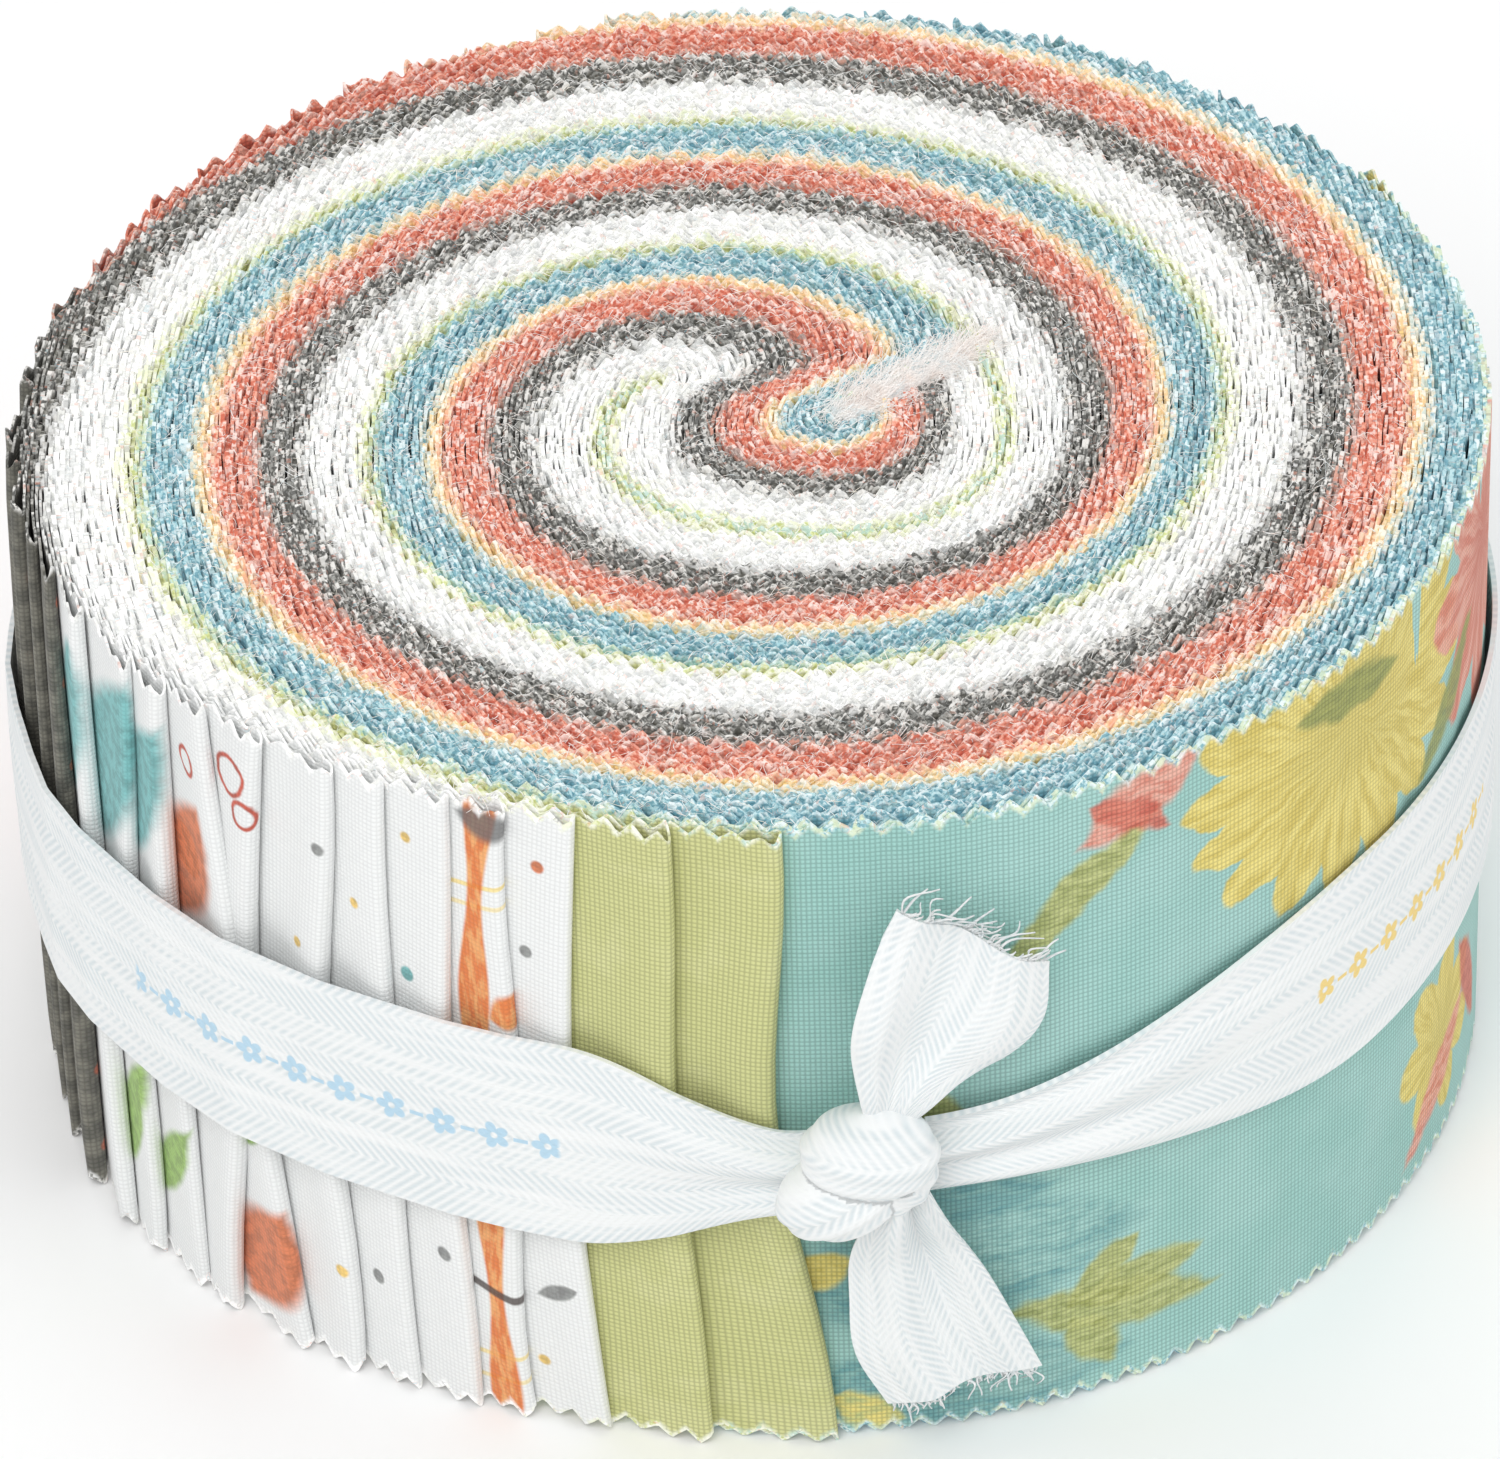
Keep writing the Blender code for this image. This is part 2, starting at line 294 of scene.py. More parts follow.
def fold_place(number):
    """The angle of a strip's fold: each lies one step of its own cloth before the next."""
    return LAST_FOLD - sum(FOLD_STEP[colour] for colour in STRIP_COLOURS[number:])


def noise_line(rng, count, reach):
    """Random numbers of spread 1 along a line, alike over a distance of reach entries."""
    raw = rng.normal(size=count + 6 * reach)
    bell = np.exp(-0.5 * (np.arange(-3 * reach, 3 * reach + 1) / reach) ** 2)
    return np.convolve(raw, bell / np.sqrt((bell ** 2).sum()), mode="valid")[:count]


def side_normals(points):
    """The printed side of a strip: a quarter turn clockwise from the way the line runs."""
    along = unit(np.gradient(points, axis=0))
    return np.stack([along[..., 1], -along[..., 0]], axis=-1)


def strip_plan(number, rng):
    """Plan of a folded strip: first layer out, round the fold and back, with its lengths.

    Near the fold the first layer stands off the second by a bell curve, and the two are
    joined by a half circle. Returns the first layer's run, the fold zone as rows of plan
    points, and the second layer's run.
    """
    share = strip_share(number)
    first = min(CORE_START / (1.0 - share), CORE_START_LAST)
    last = station_of(fold_place(number))
    upper = layer_path(share + 0.25 / STRIP_COUNT, first, last)[::-1]
    lower = layer_path(share - 0.25 / STRIP_COUNT, first, last)[::-1]
    upper_gone, lower_gone = lengths(upper), lengths(lower)
    gap = fold_place(min(number + 1, STRIP_COUNT)) - fold_place(number) if number < STRIP_COUNT else 7.0
    before = fold_place(number) - fold_place(number - 1) if number > 1 else 9.0
    room = min(gap, before) * 0.0011
    radius = 0.00042 + 0.00016 * rng.random()
    spread = max(0.55 * room, 0.0012)

    def at(line, gone, distance):
        return np.stack([np.interp(distance, gone, line[:, i]) for i in (0, 1)], axis=-1)

    count = int(FOLD_ZONE / COLUMN)
    near = np.linspace(FOLD_ZONE, radius, count)
    height = np.linspace(0.0, 1.0, FOLD_ROWS)
    sway = rng.normal(size=3) * (0.00080, 0.00055, 0.00025)
    lean = sum(sway[i] * np.sin((i + 1) * math.pi * height + 1.4 * i) for i in range(3))
    lean = lean + 0.0009 * rng.normal() * (height - 0.5)
    lean = lean + LEAN.get(number, 0.0007) * (0.5 - height)
    swell = 1.0 + 0.35 * np.sin(math.pi * height) ** 0.5 + 0.15 * rng.normal() * np.cos(3.0 * height)
    top_layer = at(upper, upper_gone, near)
    low_layer = at(lower, lower_gone, near)
    out = -side_normals(low_layer)
    apart = np.sum((top_layer - low_layer) * -out, axis=-1)
    out = out * np.where(np.median(apart) > 0.0, -1.0, 1.0)
    gap_now = np.abs(np.median(apart))
    bell = np.exp(-((near - radius) / spread) ** 2)
    lift = (2.0 * radius * swell[:, None] - gap_now) * bell
    top_rows = top_layer + lift[..., None] * out
    low_rows = np.broadcast_to(low_layer, (FOLD_ROWS, count, 2))
    ahead = unit(low_layer[-1] - low_layer[-2])
    turn = np.linspace(0.0, math.pi, 9)[1:-1]
    middle = 0.5 * (top_rows[:, -1] + low_rows[:, -1])[:, None]
    half = 0.5 * (top_rows[:, -1] - low_rows[:, -1])[:, None]
    nose = middle + np.cos(turn)[None, :, None] * half + np.sin(turn)[None, :, None] * ahead * radius
    rows = np.concatenate([top_rows, nose, low_rows[:, ::-1]], axis=1)
    fade = np.concatenate([bell_of(near), np.ones(len(turn)), bell_of(near)[::-1]])
    rows = rows + (lean[:, None] * fade)[..., None] * ahead
    run = np.arange(FOLD_ZONE + COLUMN, min(upper_gone[-1], lower_gone[-1]), COLUMN)
    return at(upper, upper_gone, run[::-1]), rows, at(lower, lower_gone, run)


def bell_of(distance):
    """1 at the fold, easing to 0 at the end of the fold zone."""
    return 1.0 - smooth(distance, 0.0, FOLD_ZONE)


def tooth(travelled, phase):
    """How deep the pinked edge is cut at a length along the strip: an even zigzag."""
    share = np.mod(travelled / TOOTH_PITCH + phase, 1.0)
    return TOOTH_DEPTH * (1.0 - np.abs(2.0 * share - 1.0))


def tooth_phase(number):
    """The zigzag's start: nearly alike in strips cut together, shifted from stack to stack."""
    return 0.37 * len(STRIP_COLOURS[number - 1]) + 0.07 * number


def make_strip(number):
    """One folded strip as a closed mesh.

    The plan line is given the strip's height, and the cloth's two sides lie half its
    thickness to each side of it. Upper and lower edges follow the zigzag, with every yarn
    end a little longer or shorter than the next.
    """
    rng = np.random.default_rng(1000 + number)
    start, zone, finish = strip_plan(number, rng)
    middle = FOLD_ROWS // 2
    line = np.concatenate([start, zone[middle], finish])
    gone = lengths(line)
    count = len(line)
    normal = side_normals(line)
    zone_first, zone_last = len(start), len(start) + zone.shape[1]
    rise = 0.00022 + 0.00022 * rng.random() + 0.00012 * noise_line(rng, count, 160)
    cut = tooth(gone, tooth_phase(number))
    fray = [(0.00009, 0.00017)[i] * noise_line(rng, count, 1) for i in range(2)]
    low = np.maximum(cut + rise + fray[0] - 0.00015, 0.00002)
    high = STRIP_WIDTH - cut + rise + fray[1] - 0.00015
    splay = [reach * noise_line(rng, count, 2) for reach in (0.00005, 0.00009)]

    def edge_points(height, shift, thickness, side):
        plan = line + normal * (shift + side * 0.5 * thickness)[:, None]
        return np.concatenate([plan, height[:, None]], axis=1)

    thick = np.full(count, CLOTH * 1.12)
    from_fold = np.abs(gone - 0.5 * gone[-1])
    fluffed = 0.00030 + 0.00003 * noise_line(rng, count, 3)
    fluffed = fluffed + 0.00004 * (1.0 - smooth(from_fold, 0.30, 0.36))
    fluffed = fluffed + 0.00007 * (1.0 - smooth(from_fold, 0.02, 0.12))
    bottoms = [edge_points(low, splay[0] * 0.4, thick, side) for side in (1.0, -1.0)]
    tops = [edge_points(high, splay[1], fluffed, side) for side in (1.0, -1.0)]

    heights = np.linspace(0.0, 1.0, FOLD_ROWS)[1:-1]
    levels = heights * STRIP_WIDTH
    inner_rows = []
    for side in (1.0, -1.0):
        rows = zone[1:-1]
        along = unit(np.gradient(rows, axis=1))
        sideways = np.stack([along[..., 1], -along[..., 0]], axis=-1)
        plan = rows + sideways * side * 0.5 * CLOTH
        lift = np.broadcast_to(levels[:, None, None], plan.shape[:2] + (1,))
        inner_rows.append(np.concatenate([plan, lift], axis=-1))
    for row, points in ((0, bottoms), (-1, tops)):
        along = unit(np.gradient(zone[row], axis=0))
        sideways = np.stack([along[:, 1], -along[:, 0]], axis=-1)
        for side, target in zip((1.0, -1.0), points):
            target[zone_first:zone_last, :2] = zone[row] + sideways * side * 0.5 * CLOTH

    vertices = np.concatenate([bottoms[0], bottoms[1], tops[0], tops[1],
                               inner_rows[0].reshape(-1, 3), inner_rows[1].reshape(-1, 3)])
    base = np.arange(count)
    fb, bb, ft, bt = base, base + count, base + 2 * count, base + 3 * count
    zone_count = zone_last - zone_first
    grid = np.arange(len(heights) * zone_count).reshape(len(heights), zone_count) + 4 * count
    front = np.concatenate([fb[None, zone_first:zone_last], grid, ft[None, zone_first:zone_last]])
    grid = grid + len(heights) * zone_count
    back = np.concatenate([bb[None, zone_first:zone_last], grid, bt[None, zone_first:zone_last]])

    def quads(a, b, c, d):
        return np.stack([a.ravel(), b.ravel(), c.ravel(), d.ravel()], axis=-1)

    plain = np.concatenate([np.arange(0, zone_first - 1), np.arange(zone_last, count - 1)])
    parts = [
        quads(fb[plain], fb[plain + 1], ft[plain + 1], ft[plain]),
        quads(bb[plain], bt[plain], bt[plain + 1], bb[plain + 1]),
        quads(ft[:-1], ft[1:], bt[1:], bt[:-1]),
        quads(fb[:-1], bb[:-1], bb[1:], fb[1:]),
        quads(front[:-1, :-1], front[:-1, 1:], front[1:, 1:], front[1:, :-1]),
        quads(back[:-1, :-1], back[1:, :-1], back[1:, 1:], back[:-1, 1:]),
        quads(fb[:1], ft[:1], bt[:1], bb[:1]),
        quads(fb[-1:], bb[-1:], bt[-1:], ft[-1:]),
    ]
    polygons = np.concatenate(parts).tolist()
    joins = [
        [fb[zone_first - 1], *front[:, 0], ft[zone_first - 1]],
        [bb[zone_first - 1], *back[:, 0], bt[zone_first - 1]][::-1],
        [fb[zone_last], ft[zone_last], *front[::-1, -1]],
        [bb[zone_last], bt[zone_last], *back[::-1, -1]][::-1],
    ]
    polygons += [[int(i) for i in join] for join in joins]
    mesh = bpy.data.meshes.new("cloth_{:02d}".format(number))
    mesh.from_pydata(vertices.tolist(), [], polygons)
    along = np.concatenate([gone] * 4 + [np.tile(gone[zone_first:zone_last], 2 * len(heights))])
    store_uv(mesh, np.stack([along, vertices[:, 2]], axis=-1))
    mesh.set_sharp_from_angle(angle=math.radians(35.0))
    piece = bpy.data.objects.new(mesh.name, mesh)
    bpy.context.scene.collection.objects.link(piece)
    return piece, line, gone, zone


def store_uv(mesh, flat):
    """Flat positions on the cloth, in metres, as the UV map of a mesh."""
    layer = mesh.uv_layers.new(name="cloth")
    corner = np.empty(len(mesh.loops), dtype=np.int32)
    mesh.loops.foreach_get("vertex_index", corner)
    layer.data.foreach_set("uv", flat[corner].astype(np.float32).ravel())
    mesh.polygons.foreach_set("use_smooth", np.ones(len(mesh.polygons), dtype=bool))


# ---- Materials ------------------------------------------------------------------------------
def tint(red, green, blue):
    """A colour from 0..255 screen values."""
    shown = np.array([red, green, blue]) / 255.0
    light = np.where(shown <= 0.04045, shown / 12.92, ((shown + 0.055) / 1.055) ** 2.4)
    return (*[float(part) for part in light], 1.0)


class Value:
    """A number that varies over a surface. Arithmetic on it adds Math nodes."""

    def __init__(self, finish, socket):
        self.finish = finish
        self.socket = socket

    def maths(self, operation, *values):
        return self.finish.node("ShaderNodeMath", {"operation": operation}, dict(enumerate(values)))

    def __add__(self, other):
        return self.maths("ADD", self, other)

    def __sub__(self, other):
        return self.maths("SUBTRACT", self, other)

    def __rsub__(self, other):
        return self.maths("SUBTRACT", other, self)

    def __mul__(self, other):
        return self.maths("MULTIPLY", self, other)

    def __truediv__(self, other):
        return self.maths("DIVIDE", self, other)

    def __pow__(self, other):
        return self.maths("POWER", self, other)

    def __abs__(self):
        return self.maths("ABSOLUTE", self)

    __radd__ = __add__
    __rmul__ = __mul__

    def sine(self):
        return self.maths("SINE", self)

    def fraction(self):
        return self.maths("FRACT", self)

    def root(self):
        return self.maths("SQRT", self)

    def angle(self, other):
        return self.maths("ARCTAN2", self, other)

    def least(self, other):
        return self.maths("MINIMUM", self, other)

    def most(self, other):
        return self.maths("MAXIMUM", self, other)

    def rising(self, low, high):
        """0 at low, 1 at high, S-curved between; high may be the smaller one."""
        return self.finish.node("ShaderNodeMapRange", {"interpolation_type": "SMOOTHSTEP"},
                                {"Value": self, "From Min": low, "From Max": high})


class Finish:
    """A material made of nodes around one cloth shader."""

    def __init__(self, name, roughness=0.92, sheen=0.12):
        self.material = bpy.data.materials.new(name)
        self.material.use_nodes = True
        self.tree = self.material.node_tree
        self.shader = self.tree.nodes["Principled BSDF"]
        self.shader.inputs["Roughness"].default_value = roughness
        self.shader.inputs["Sheen Weight"].default_value = sheen
        self.shader.inputs["Sheen Roughness"].default_value = 0.6
        self.shader.inputs["Specular IOR Level"].default_value = 0.15

    def plug(self, socket, value):
        if isinstance(value, Value):
            self.tree.links.new(value.socket, socket)
        else:
            socket.default_value = value

    def node(self, kind, settings=None, inputs=None, output=0):
        """Adds a node: its settings first, then the values or links of its sockets."""
        made = self.tree.nodes.new(kind)
        for name, value in (settings or {}).items():
            setattr(made, name, value)
        for name, value in (inputs or {}).items():
            self.plug(made.inputs[name], value)
        return Value(self, made.outputs[output])

    def flat_place(self):
        """The place on the cloth in millimetres: along it and up it."""
        uv = self.node("ShaderNodeUVMap", {"uv_map": "cloth"})
        parts = self.tree.nodes.new("ShaderNodeSeparateXYZ")
        self.plug(parts.inputs[0], uv)
        along, up = Value(self, parts.outputs[0]), Value(self, parts.outputs[1])
        return along * 1000.0, up * 1000.0

    def point(self, x, y, z=0.0):
        return self.node("ShaderNodeCombineXYZ", None, {0: x, 1: y, 2: z})

    def grain(self, place, scale, detail=2.0, rough=0.55, output=0):
        """Noise from 0 to 1, evenly spread about a half."""
        return self.node("ShaderNodeTexNoise", None,
                         {"Vector": place, "Scale": scale, "Detail": detail, "Roughness": rough},
                         output)

    def body_place(self):
        return self.node("ShaderNodeTexCoord", None, None, 3)

    def mix(self, first, second, share, way="MIX"):
        return self.node("ShaderNodeMix", {"data_type": "RGBA", "blend_type": way},
                         {0: share, 6: first, 7: second}, 2)

    def paint(self, colour):
        self.plug(self.shader.inputs["Base Color"], colour)

    def relief(self, height, distance, strength=1.0):
        bump = self.node("ShaderNodeBump", None,
                         {"Strength": strength, "Distance": distance, "Height": height})
        self.plug(self.shader.inputs["Normal"], bump)


def weave(finish, along, up, pitch=0.43):
    """A plain weave's height: 1 on the threads, 0 in the holes where four threads meet."""
    first = abs((along * (math.pi / pitch)).sine()) ** 0.9
    second = abs((up * (math.pi / pitch)).sine()) ** 0.9
    return first * second


def spot(finish, along, up, x, y, radius, soft=0.35):
    """A round dot of a radius, in millimetres."""
    across, over = along - x, up - y
    return (across * across + over * over).root().rising(radius + soft, radius - soft)


def leaf(finish, along, up, start, end, width, soft=0.25):
    """A pointed leaf from start to end: as wide as 1 less the square of the place along it."""
    dx, dy = end[0] - start[0], end[1] - start[1]
    size = math.hypot(dx, dy)
    cx, cy = 0.5 * (start[0] + end[0]), 0.5 * (start[1] + end[1])
    lengthwise = ((along - cx) * (dx / size) + (up - cy) * (dy / size)) * (2.0 / size)
    across = abs((up - cy) * (dx / size) - (along - cx) * (dy / size)) * (2.0 / width)
    return (across + lengthwise * lengthwise).rising(1.0 + soft, 1.0 - soft)


def blossom(finish, along, up, x, y, radius, petals, jag, turn=0.0, soft=0.4, squash=1.0):
    """A flower head: its edge waves in and out as often as it has petals."""
    across, over = along - x, (up - y) * (1.0 / squash)
    reach = (across * across + over * over).root()
    way = over.angle(across)
    wave = abs((way * (0.5 * petals) + turn).sine())
    edge = radius * (1.0 - jag) + wave * (radius * jag)
    return (reach - edge).rising(soft, -soft), way, reach


FUZZ = {
    "aqua": ((128, 174, 187), (240, 248, 249), (190, 221, 226)),
    "yellow": ((243, 212, 164), (254, 248, 238), (252, 234, 206)),
    "coral": ((210, 118, 96), (252, 236, 229), (238, 174, 153)),
    "gray": ((98, 98, 96), (246, 244, 240), (164, 164, 160)),
    "white": ((255, 255, 255), (234, 234, 229), (251, 251, 250)),
    "green": ((208, 216, 152), (251, 252, 242), (231, 235, 196)),
}
STRAY = ((132, 176, 188), (226, 150, 126), (120, 120, 118))     # yarn ends of other cloths


def neighbour_band(number):
    """The cloth of the nearest differently coloured strip, and how many strips away it is."""
    own = STRIP_COLOURS[number - 1]
    for away in range(1, STRIP_COUNT):
        for other in (number - away, number + away):
            name = STRIP_COLOURS[(other - 1) % STRIP_COUNT]
            if name != own:
                return name, away
    return own, STRIP_COUNT


def cotton(number, name, picture):
    """A printed cotton: the picture, its weave with painted shade in its holes, and pale frayed yarn along
    the pinked edges with a faint painted glow.

    picture gets the finish and the place on the cloth, and gives back the printed colour.
    """
    finish = Finish("cotton_{:02d}_{}".format(number, name))
    along, up = finish.flat_place()
    place = finish.body_place()
    colour = picture(finish, along, up)
    threads = weave(finish, along, up)
    slub = finish.grain(finish.point(along * 0.25, up * 6.0), 1.0, 2.0)
    # Painted shade and highlight: the weave's holes are darkened and its thread tops lightened in the colour,
    # with the slub's real yarn tone mixed in.
    weave_shade_and_slub = (threads * 0.62 + slub * 0.24 + 0.46).least(1.08)
    weave_shade_grey = finish.node("ShaderNodeCombineXYZ", None, {0: weave_shade_and_slub, 1: weave_shade_and_slub, 2: weave_shade_and_slub})
    colour = finish.mix(colour, weave_shade_grey, 0.26 if name == "white" else 0.72, "MULTIPLY")
    share = (along * (0.001 / TOOTH_PITCH) + tooth_phase(number)).fraction()
    cut = (1.0 - abs(share * 2.0 - 1.0)) * (TOOTH_DEPTH * 1000.0)
    top = (STRIP_WIDTH * 1000.0 + 0.25) - cut - up
    bottom = up - cut - 0.25
    speck = finish.grain(place, 2600.0, 1.0)
    coarse = finish.grain(place, 900.0, 2.0)
    frayed = (top.least(bottom) + coarse * 1.0 - 0.5).rising(0.75, -0.1)
    dark, pale, mid = (tint(*colour_of) for colour_of in FUZZ[STRIP_COLOURS[number - 1]])
    yarn = finish.mix(mid, dark, speck.rising(0.53, 0.42))
    beside, away = neighbour_band(number)
    mixed = finish.grain(place, 1500.0, 1.0).rising(0.60, 0.48 if away == 1 else 0.66)
    yarn = finish.mix(yarn, tint(*FUZZ[beside][2]), mixed * (0.75, 0.40, 0.15)[min(away, 3) - 1])
    yarn = finish.mix(yarn, pale, (speck * 0.4 + coarse * 0.6).rising(0.49, 0.57) * 0.9)
    stray = finish.grain(finish.point(along, up, 11.0 + number), 0.9, 1.0)
    for level, ink in zip((0.30, 0.335, 0.66), STRAY):
        near = abs(stray - level).rising(0.024, 0.008)
        yarn = finish.mix(yarn, tint(*ink), near * 0.4)
    colour = finish.mix(colour, yarn, frayed * 0.92)
    finish.paint(colour)
    # Painted light: the frayed yarn glows faintly in its own colour, lifting its shade.
    frayed_painted_glow = finish.mix((0.0, 0.0, 0.0, 1.0), yarn, frayed)
    finish.plug(finish.shader.inputs["Emission Color"], frayed_painted_glow)
    finish.shader.inputs["Emission Strength"].default_value = 0.11
    finish.relief(threads, 0.00008, 0.55)
    return finish.material


def plain_print(ground, fleck, share=0.5, size=2.2):
    """A ground colour with soft flecks of a second one."""
    def picture(finish, along, up):
        spots = finish.grain(finish.point(along, up), 1.0 / size, 2.0).rising(share, share + 0.12)
        return finish.mix(tint(*ground), tint(*fleck), spots * 0.6)
    return picture


def make_picture(number, where):
    """The print of each strip; where(angle) gives the length along the strip at an angle."""
    colour = STRIP_COLOURS[number - 1]
    if colour == "aqua" and number > 1:
        grounds = ((120, 172, 188), (104, 158, 176), (140, 190, 196))
        return plain_print(grounds[number % 3], (190, 222, 222))
    if colour == "yellow":
        return plain_print((246, 218, 152), (252, 240, 212))
    if colour == "coral":
        return plain_print(((205, 108, 88), (218, 128, 104))[number % 2], (244, 206, 188))
    if colour == "green":
        return plain_print((206, 208, 146), (214, 215, 158), 0.5, 6.0)
    if colour == "gray":
        return gray_dots(number)
    if colour == "white":
        return white_print(number, where)
    return aqua_floral(where)


def gray_dots(number):
    """Dark gray with small coral dots on a staggered grid."""
    def picture(finish, along, up):
        pitch = 8.0
        column = along * (1.0 / pitch) + 0.31 * number
        shifted = up * (1.0 / pitch) + (column - column.fraction()) * 0.5
        dx, dy = (column.fraction() - 0.5) * pitch, (shifted.fraction() - 0.5) * pitch
        dots = (dx * dx + dy * dy).root().rising(0.70, 0.40) * 0.75
        cloudy = finish.grain(finish.point(along, up), 0.6, 3.0)
        ground = finish.mix(tint(128, 126, 116), tint(102, 101, 94), cloudy.rising(0.4, 0.6))
        return finish.mix(ground, tint(214, 118, 88), dots)
    return picture


TEAL_INK, GREEN_INK, ORANGE_INK = (124, 192, 192), (160, 198, 104), (224, 128, 82)
RED_INK, YELLOW_INK, SMOKE_INK = (206, 84, 58), (248, 210, 118), (150, 152, 150)

# Marks on the white strips: places are millimetres before the strip's fold and up the cloth
WHITE_MARKS = {
    29: (("leaf", (8, 41), (1, 60), 9.0, TEAL_INK), ("spot", (3, 27), 2.5, YELLOW_INK)),
    30: (("leaf", (9, 39), (0, 61), 10.0, TEAL_INK), ("leaf", (8, 5), (0, 21), 5.0, GREEN_INK)),
    31: (("leaf", (10, 41), (0, 59), 8.0, TEAL_INK), ("leaf", (8, 6), (0, 17), 4.0, GREEN_INK),
         ("spot", (4, 25), 2.5, TEAL_INK)),
    32: (("leaf", (8, 39), (0, 53), 8.0, ORANGE_INK), ("spot", (4, 47), 2.5, ORANGE_INK),
         ("ring", (1, 57), 1.5, RED_INK)),
    33: (("ring", (3, 58), 2.0, RED_INK), ("ring", (1, 55), 1.5, RED_INK),
         ("leaf", (6, 2), (0, 14), 8.0, ORANGE_INK), ("leaf", (4, 19), (0, 24), 2.0, GREEN_INK)),
    34: (("spot", (1, 55), 0.6, SMOKE_INK), ("spot", (3, 44), 0.5, YELLOW_INK),
         ("spot", (1, 11), 0.6, YELLOW_INK)),
    35: (("spot", (2, 35), 0.6, TEAL_INK), ("spot", (3, 50), 0.5, YELLOW_INK),
         ("spot", (3, 11), 0.7, SMOKE_INK)),
    36: (("spot", (4, 44), 0.7, TEAL_INK), ("spot", (2, 16), 0.7, SMOKE_INK),
         ("spot", (4, 58), 0.5, YELLOW_INK)),
    38: (("spot", (4, 49), 0.6, SMOKE_INK), ("spot", (3, 58), 0.6, ORANGE_INK),
         ("leaf", (5, 13), (1, 15), 1.5, SMOKE_INK), ("spot", (5, 6), 0.5, YELLOW_INK)),
}


def white_print(number, where):
    """White cotton with the small flowers, dots and stripes of that strip."""
    def picture(finish, along, up):
        drift = finish.grain(finish.point(along, up), 0.35, 2.0)
        across = along + (drift - 0.5) * 1.2
        over = up + (drift - 0.5) * 0.8
        stroke = finish.grain(finish.point(along, up), 0.9, 3.0)
        colour = finish.mix(tint(243, 244, 243), tint(237, 239, 239), stroke)
        fold = where(fold_place(number))
        for kind, (before, height), *rest, size, colours in WHITE_MARKS.get(number, ()):
            x = fold - before
            if kind == "leaf":
                end = (fold - rest[0][0], rest[0][1])
                shape = leaf(finish, across, over, (x, height), end, size)
            elif kind == "ring":
                shape = spot(finish, across, over, x, height, size, 0.15)
                shape = shape - spot(finish, across, over, x, height, size - 0.45, 0.15)
            else:
                shape = spot(finish, along, up, x, height, size, 0.15)
            deep = tuple(int(part * 0.86) for part in colours)
            ink = finish.mix(tint(*colours), tint(*deep), stroke.rising(0.4, 0.62))
            colour = finish.mix(colour, ink, shape * 0.95)
        if number == 37:
            colour = wavy_stripe(finish, colour, along, up, where)
        return colour
    return picture


def wavy_stripe(finish, colour, along, up, where):
    """A wavy orange stripe up the cloth, crossed by thin yellow lines and one dark line."""
    centre = where(fold_place(37)) - 3.0
    sway = (up * 0.115 + 0.6).sine() * 0.9
    width = (up * 0.30 + 1.0).sine() * 0.45 + 1.25
    stripe = (abs(along - centre - sway) - width).rising(0.22, -0.22)
    stroke = finish.grain(finish.point(along * 1.2, up * 0.4), 1.0, 3.0)
    ink = finish.mix(tint(226, 122, 50), tint(240, 168, 100), stroke.rising(0.42, 0.62))
    for level, share in ((55.0, 0.8), (53.0, 0.6), (6.0, 0.7), (3.5, 0.6)):
        line = (abs(up - level - (along - centre) * 0.16)).rising(0.32, 0.12)
        colour = finish.mix(colour, tint(248, 222, 132), line * share)
    colour = finish.mix(colour, ink, stripe * 0.95)
    dark = (abs(up - 13.0 + (along - centre) * 0.14) - 0.35).rising(0.2, -0.1)
    colour = finish.mix(colour, tint(84, 74, 70), dark * 0.9)
    fringe = leaf(finish, along, up, (centre - 1.5, 62.0), (centre + 4.5, 61.0), 3.0, 0.4)
    colour = finish.mix(colour, tint(104, 104, 104), fringe * 0.85)
    patch = leaf(finish, along, up, (centre + 1.0, 42.0), (centre + 5.0, 44.0), 3.5)
    return finish.mix(colour, ink, patch * 0.95)


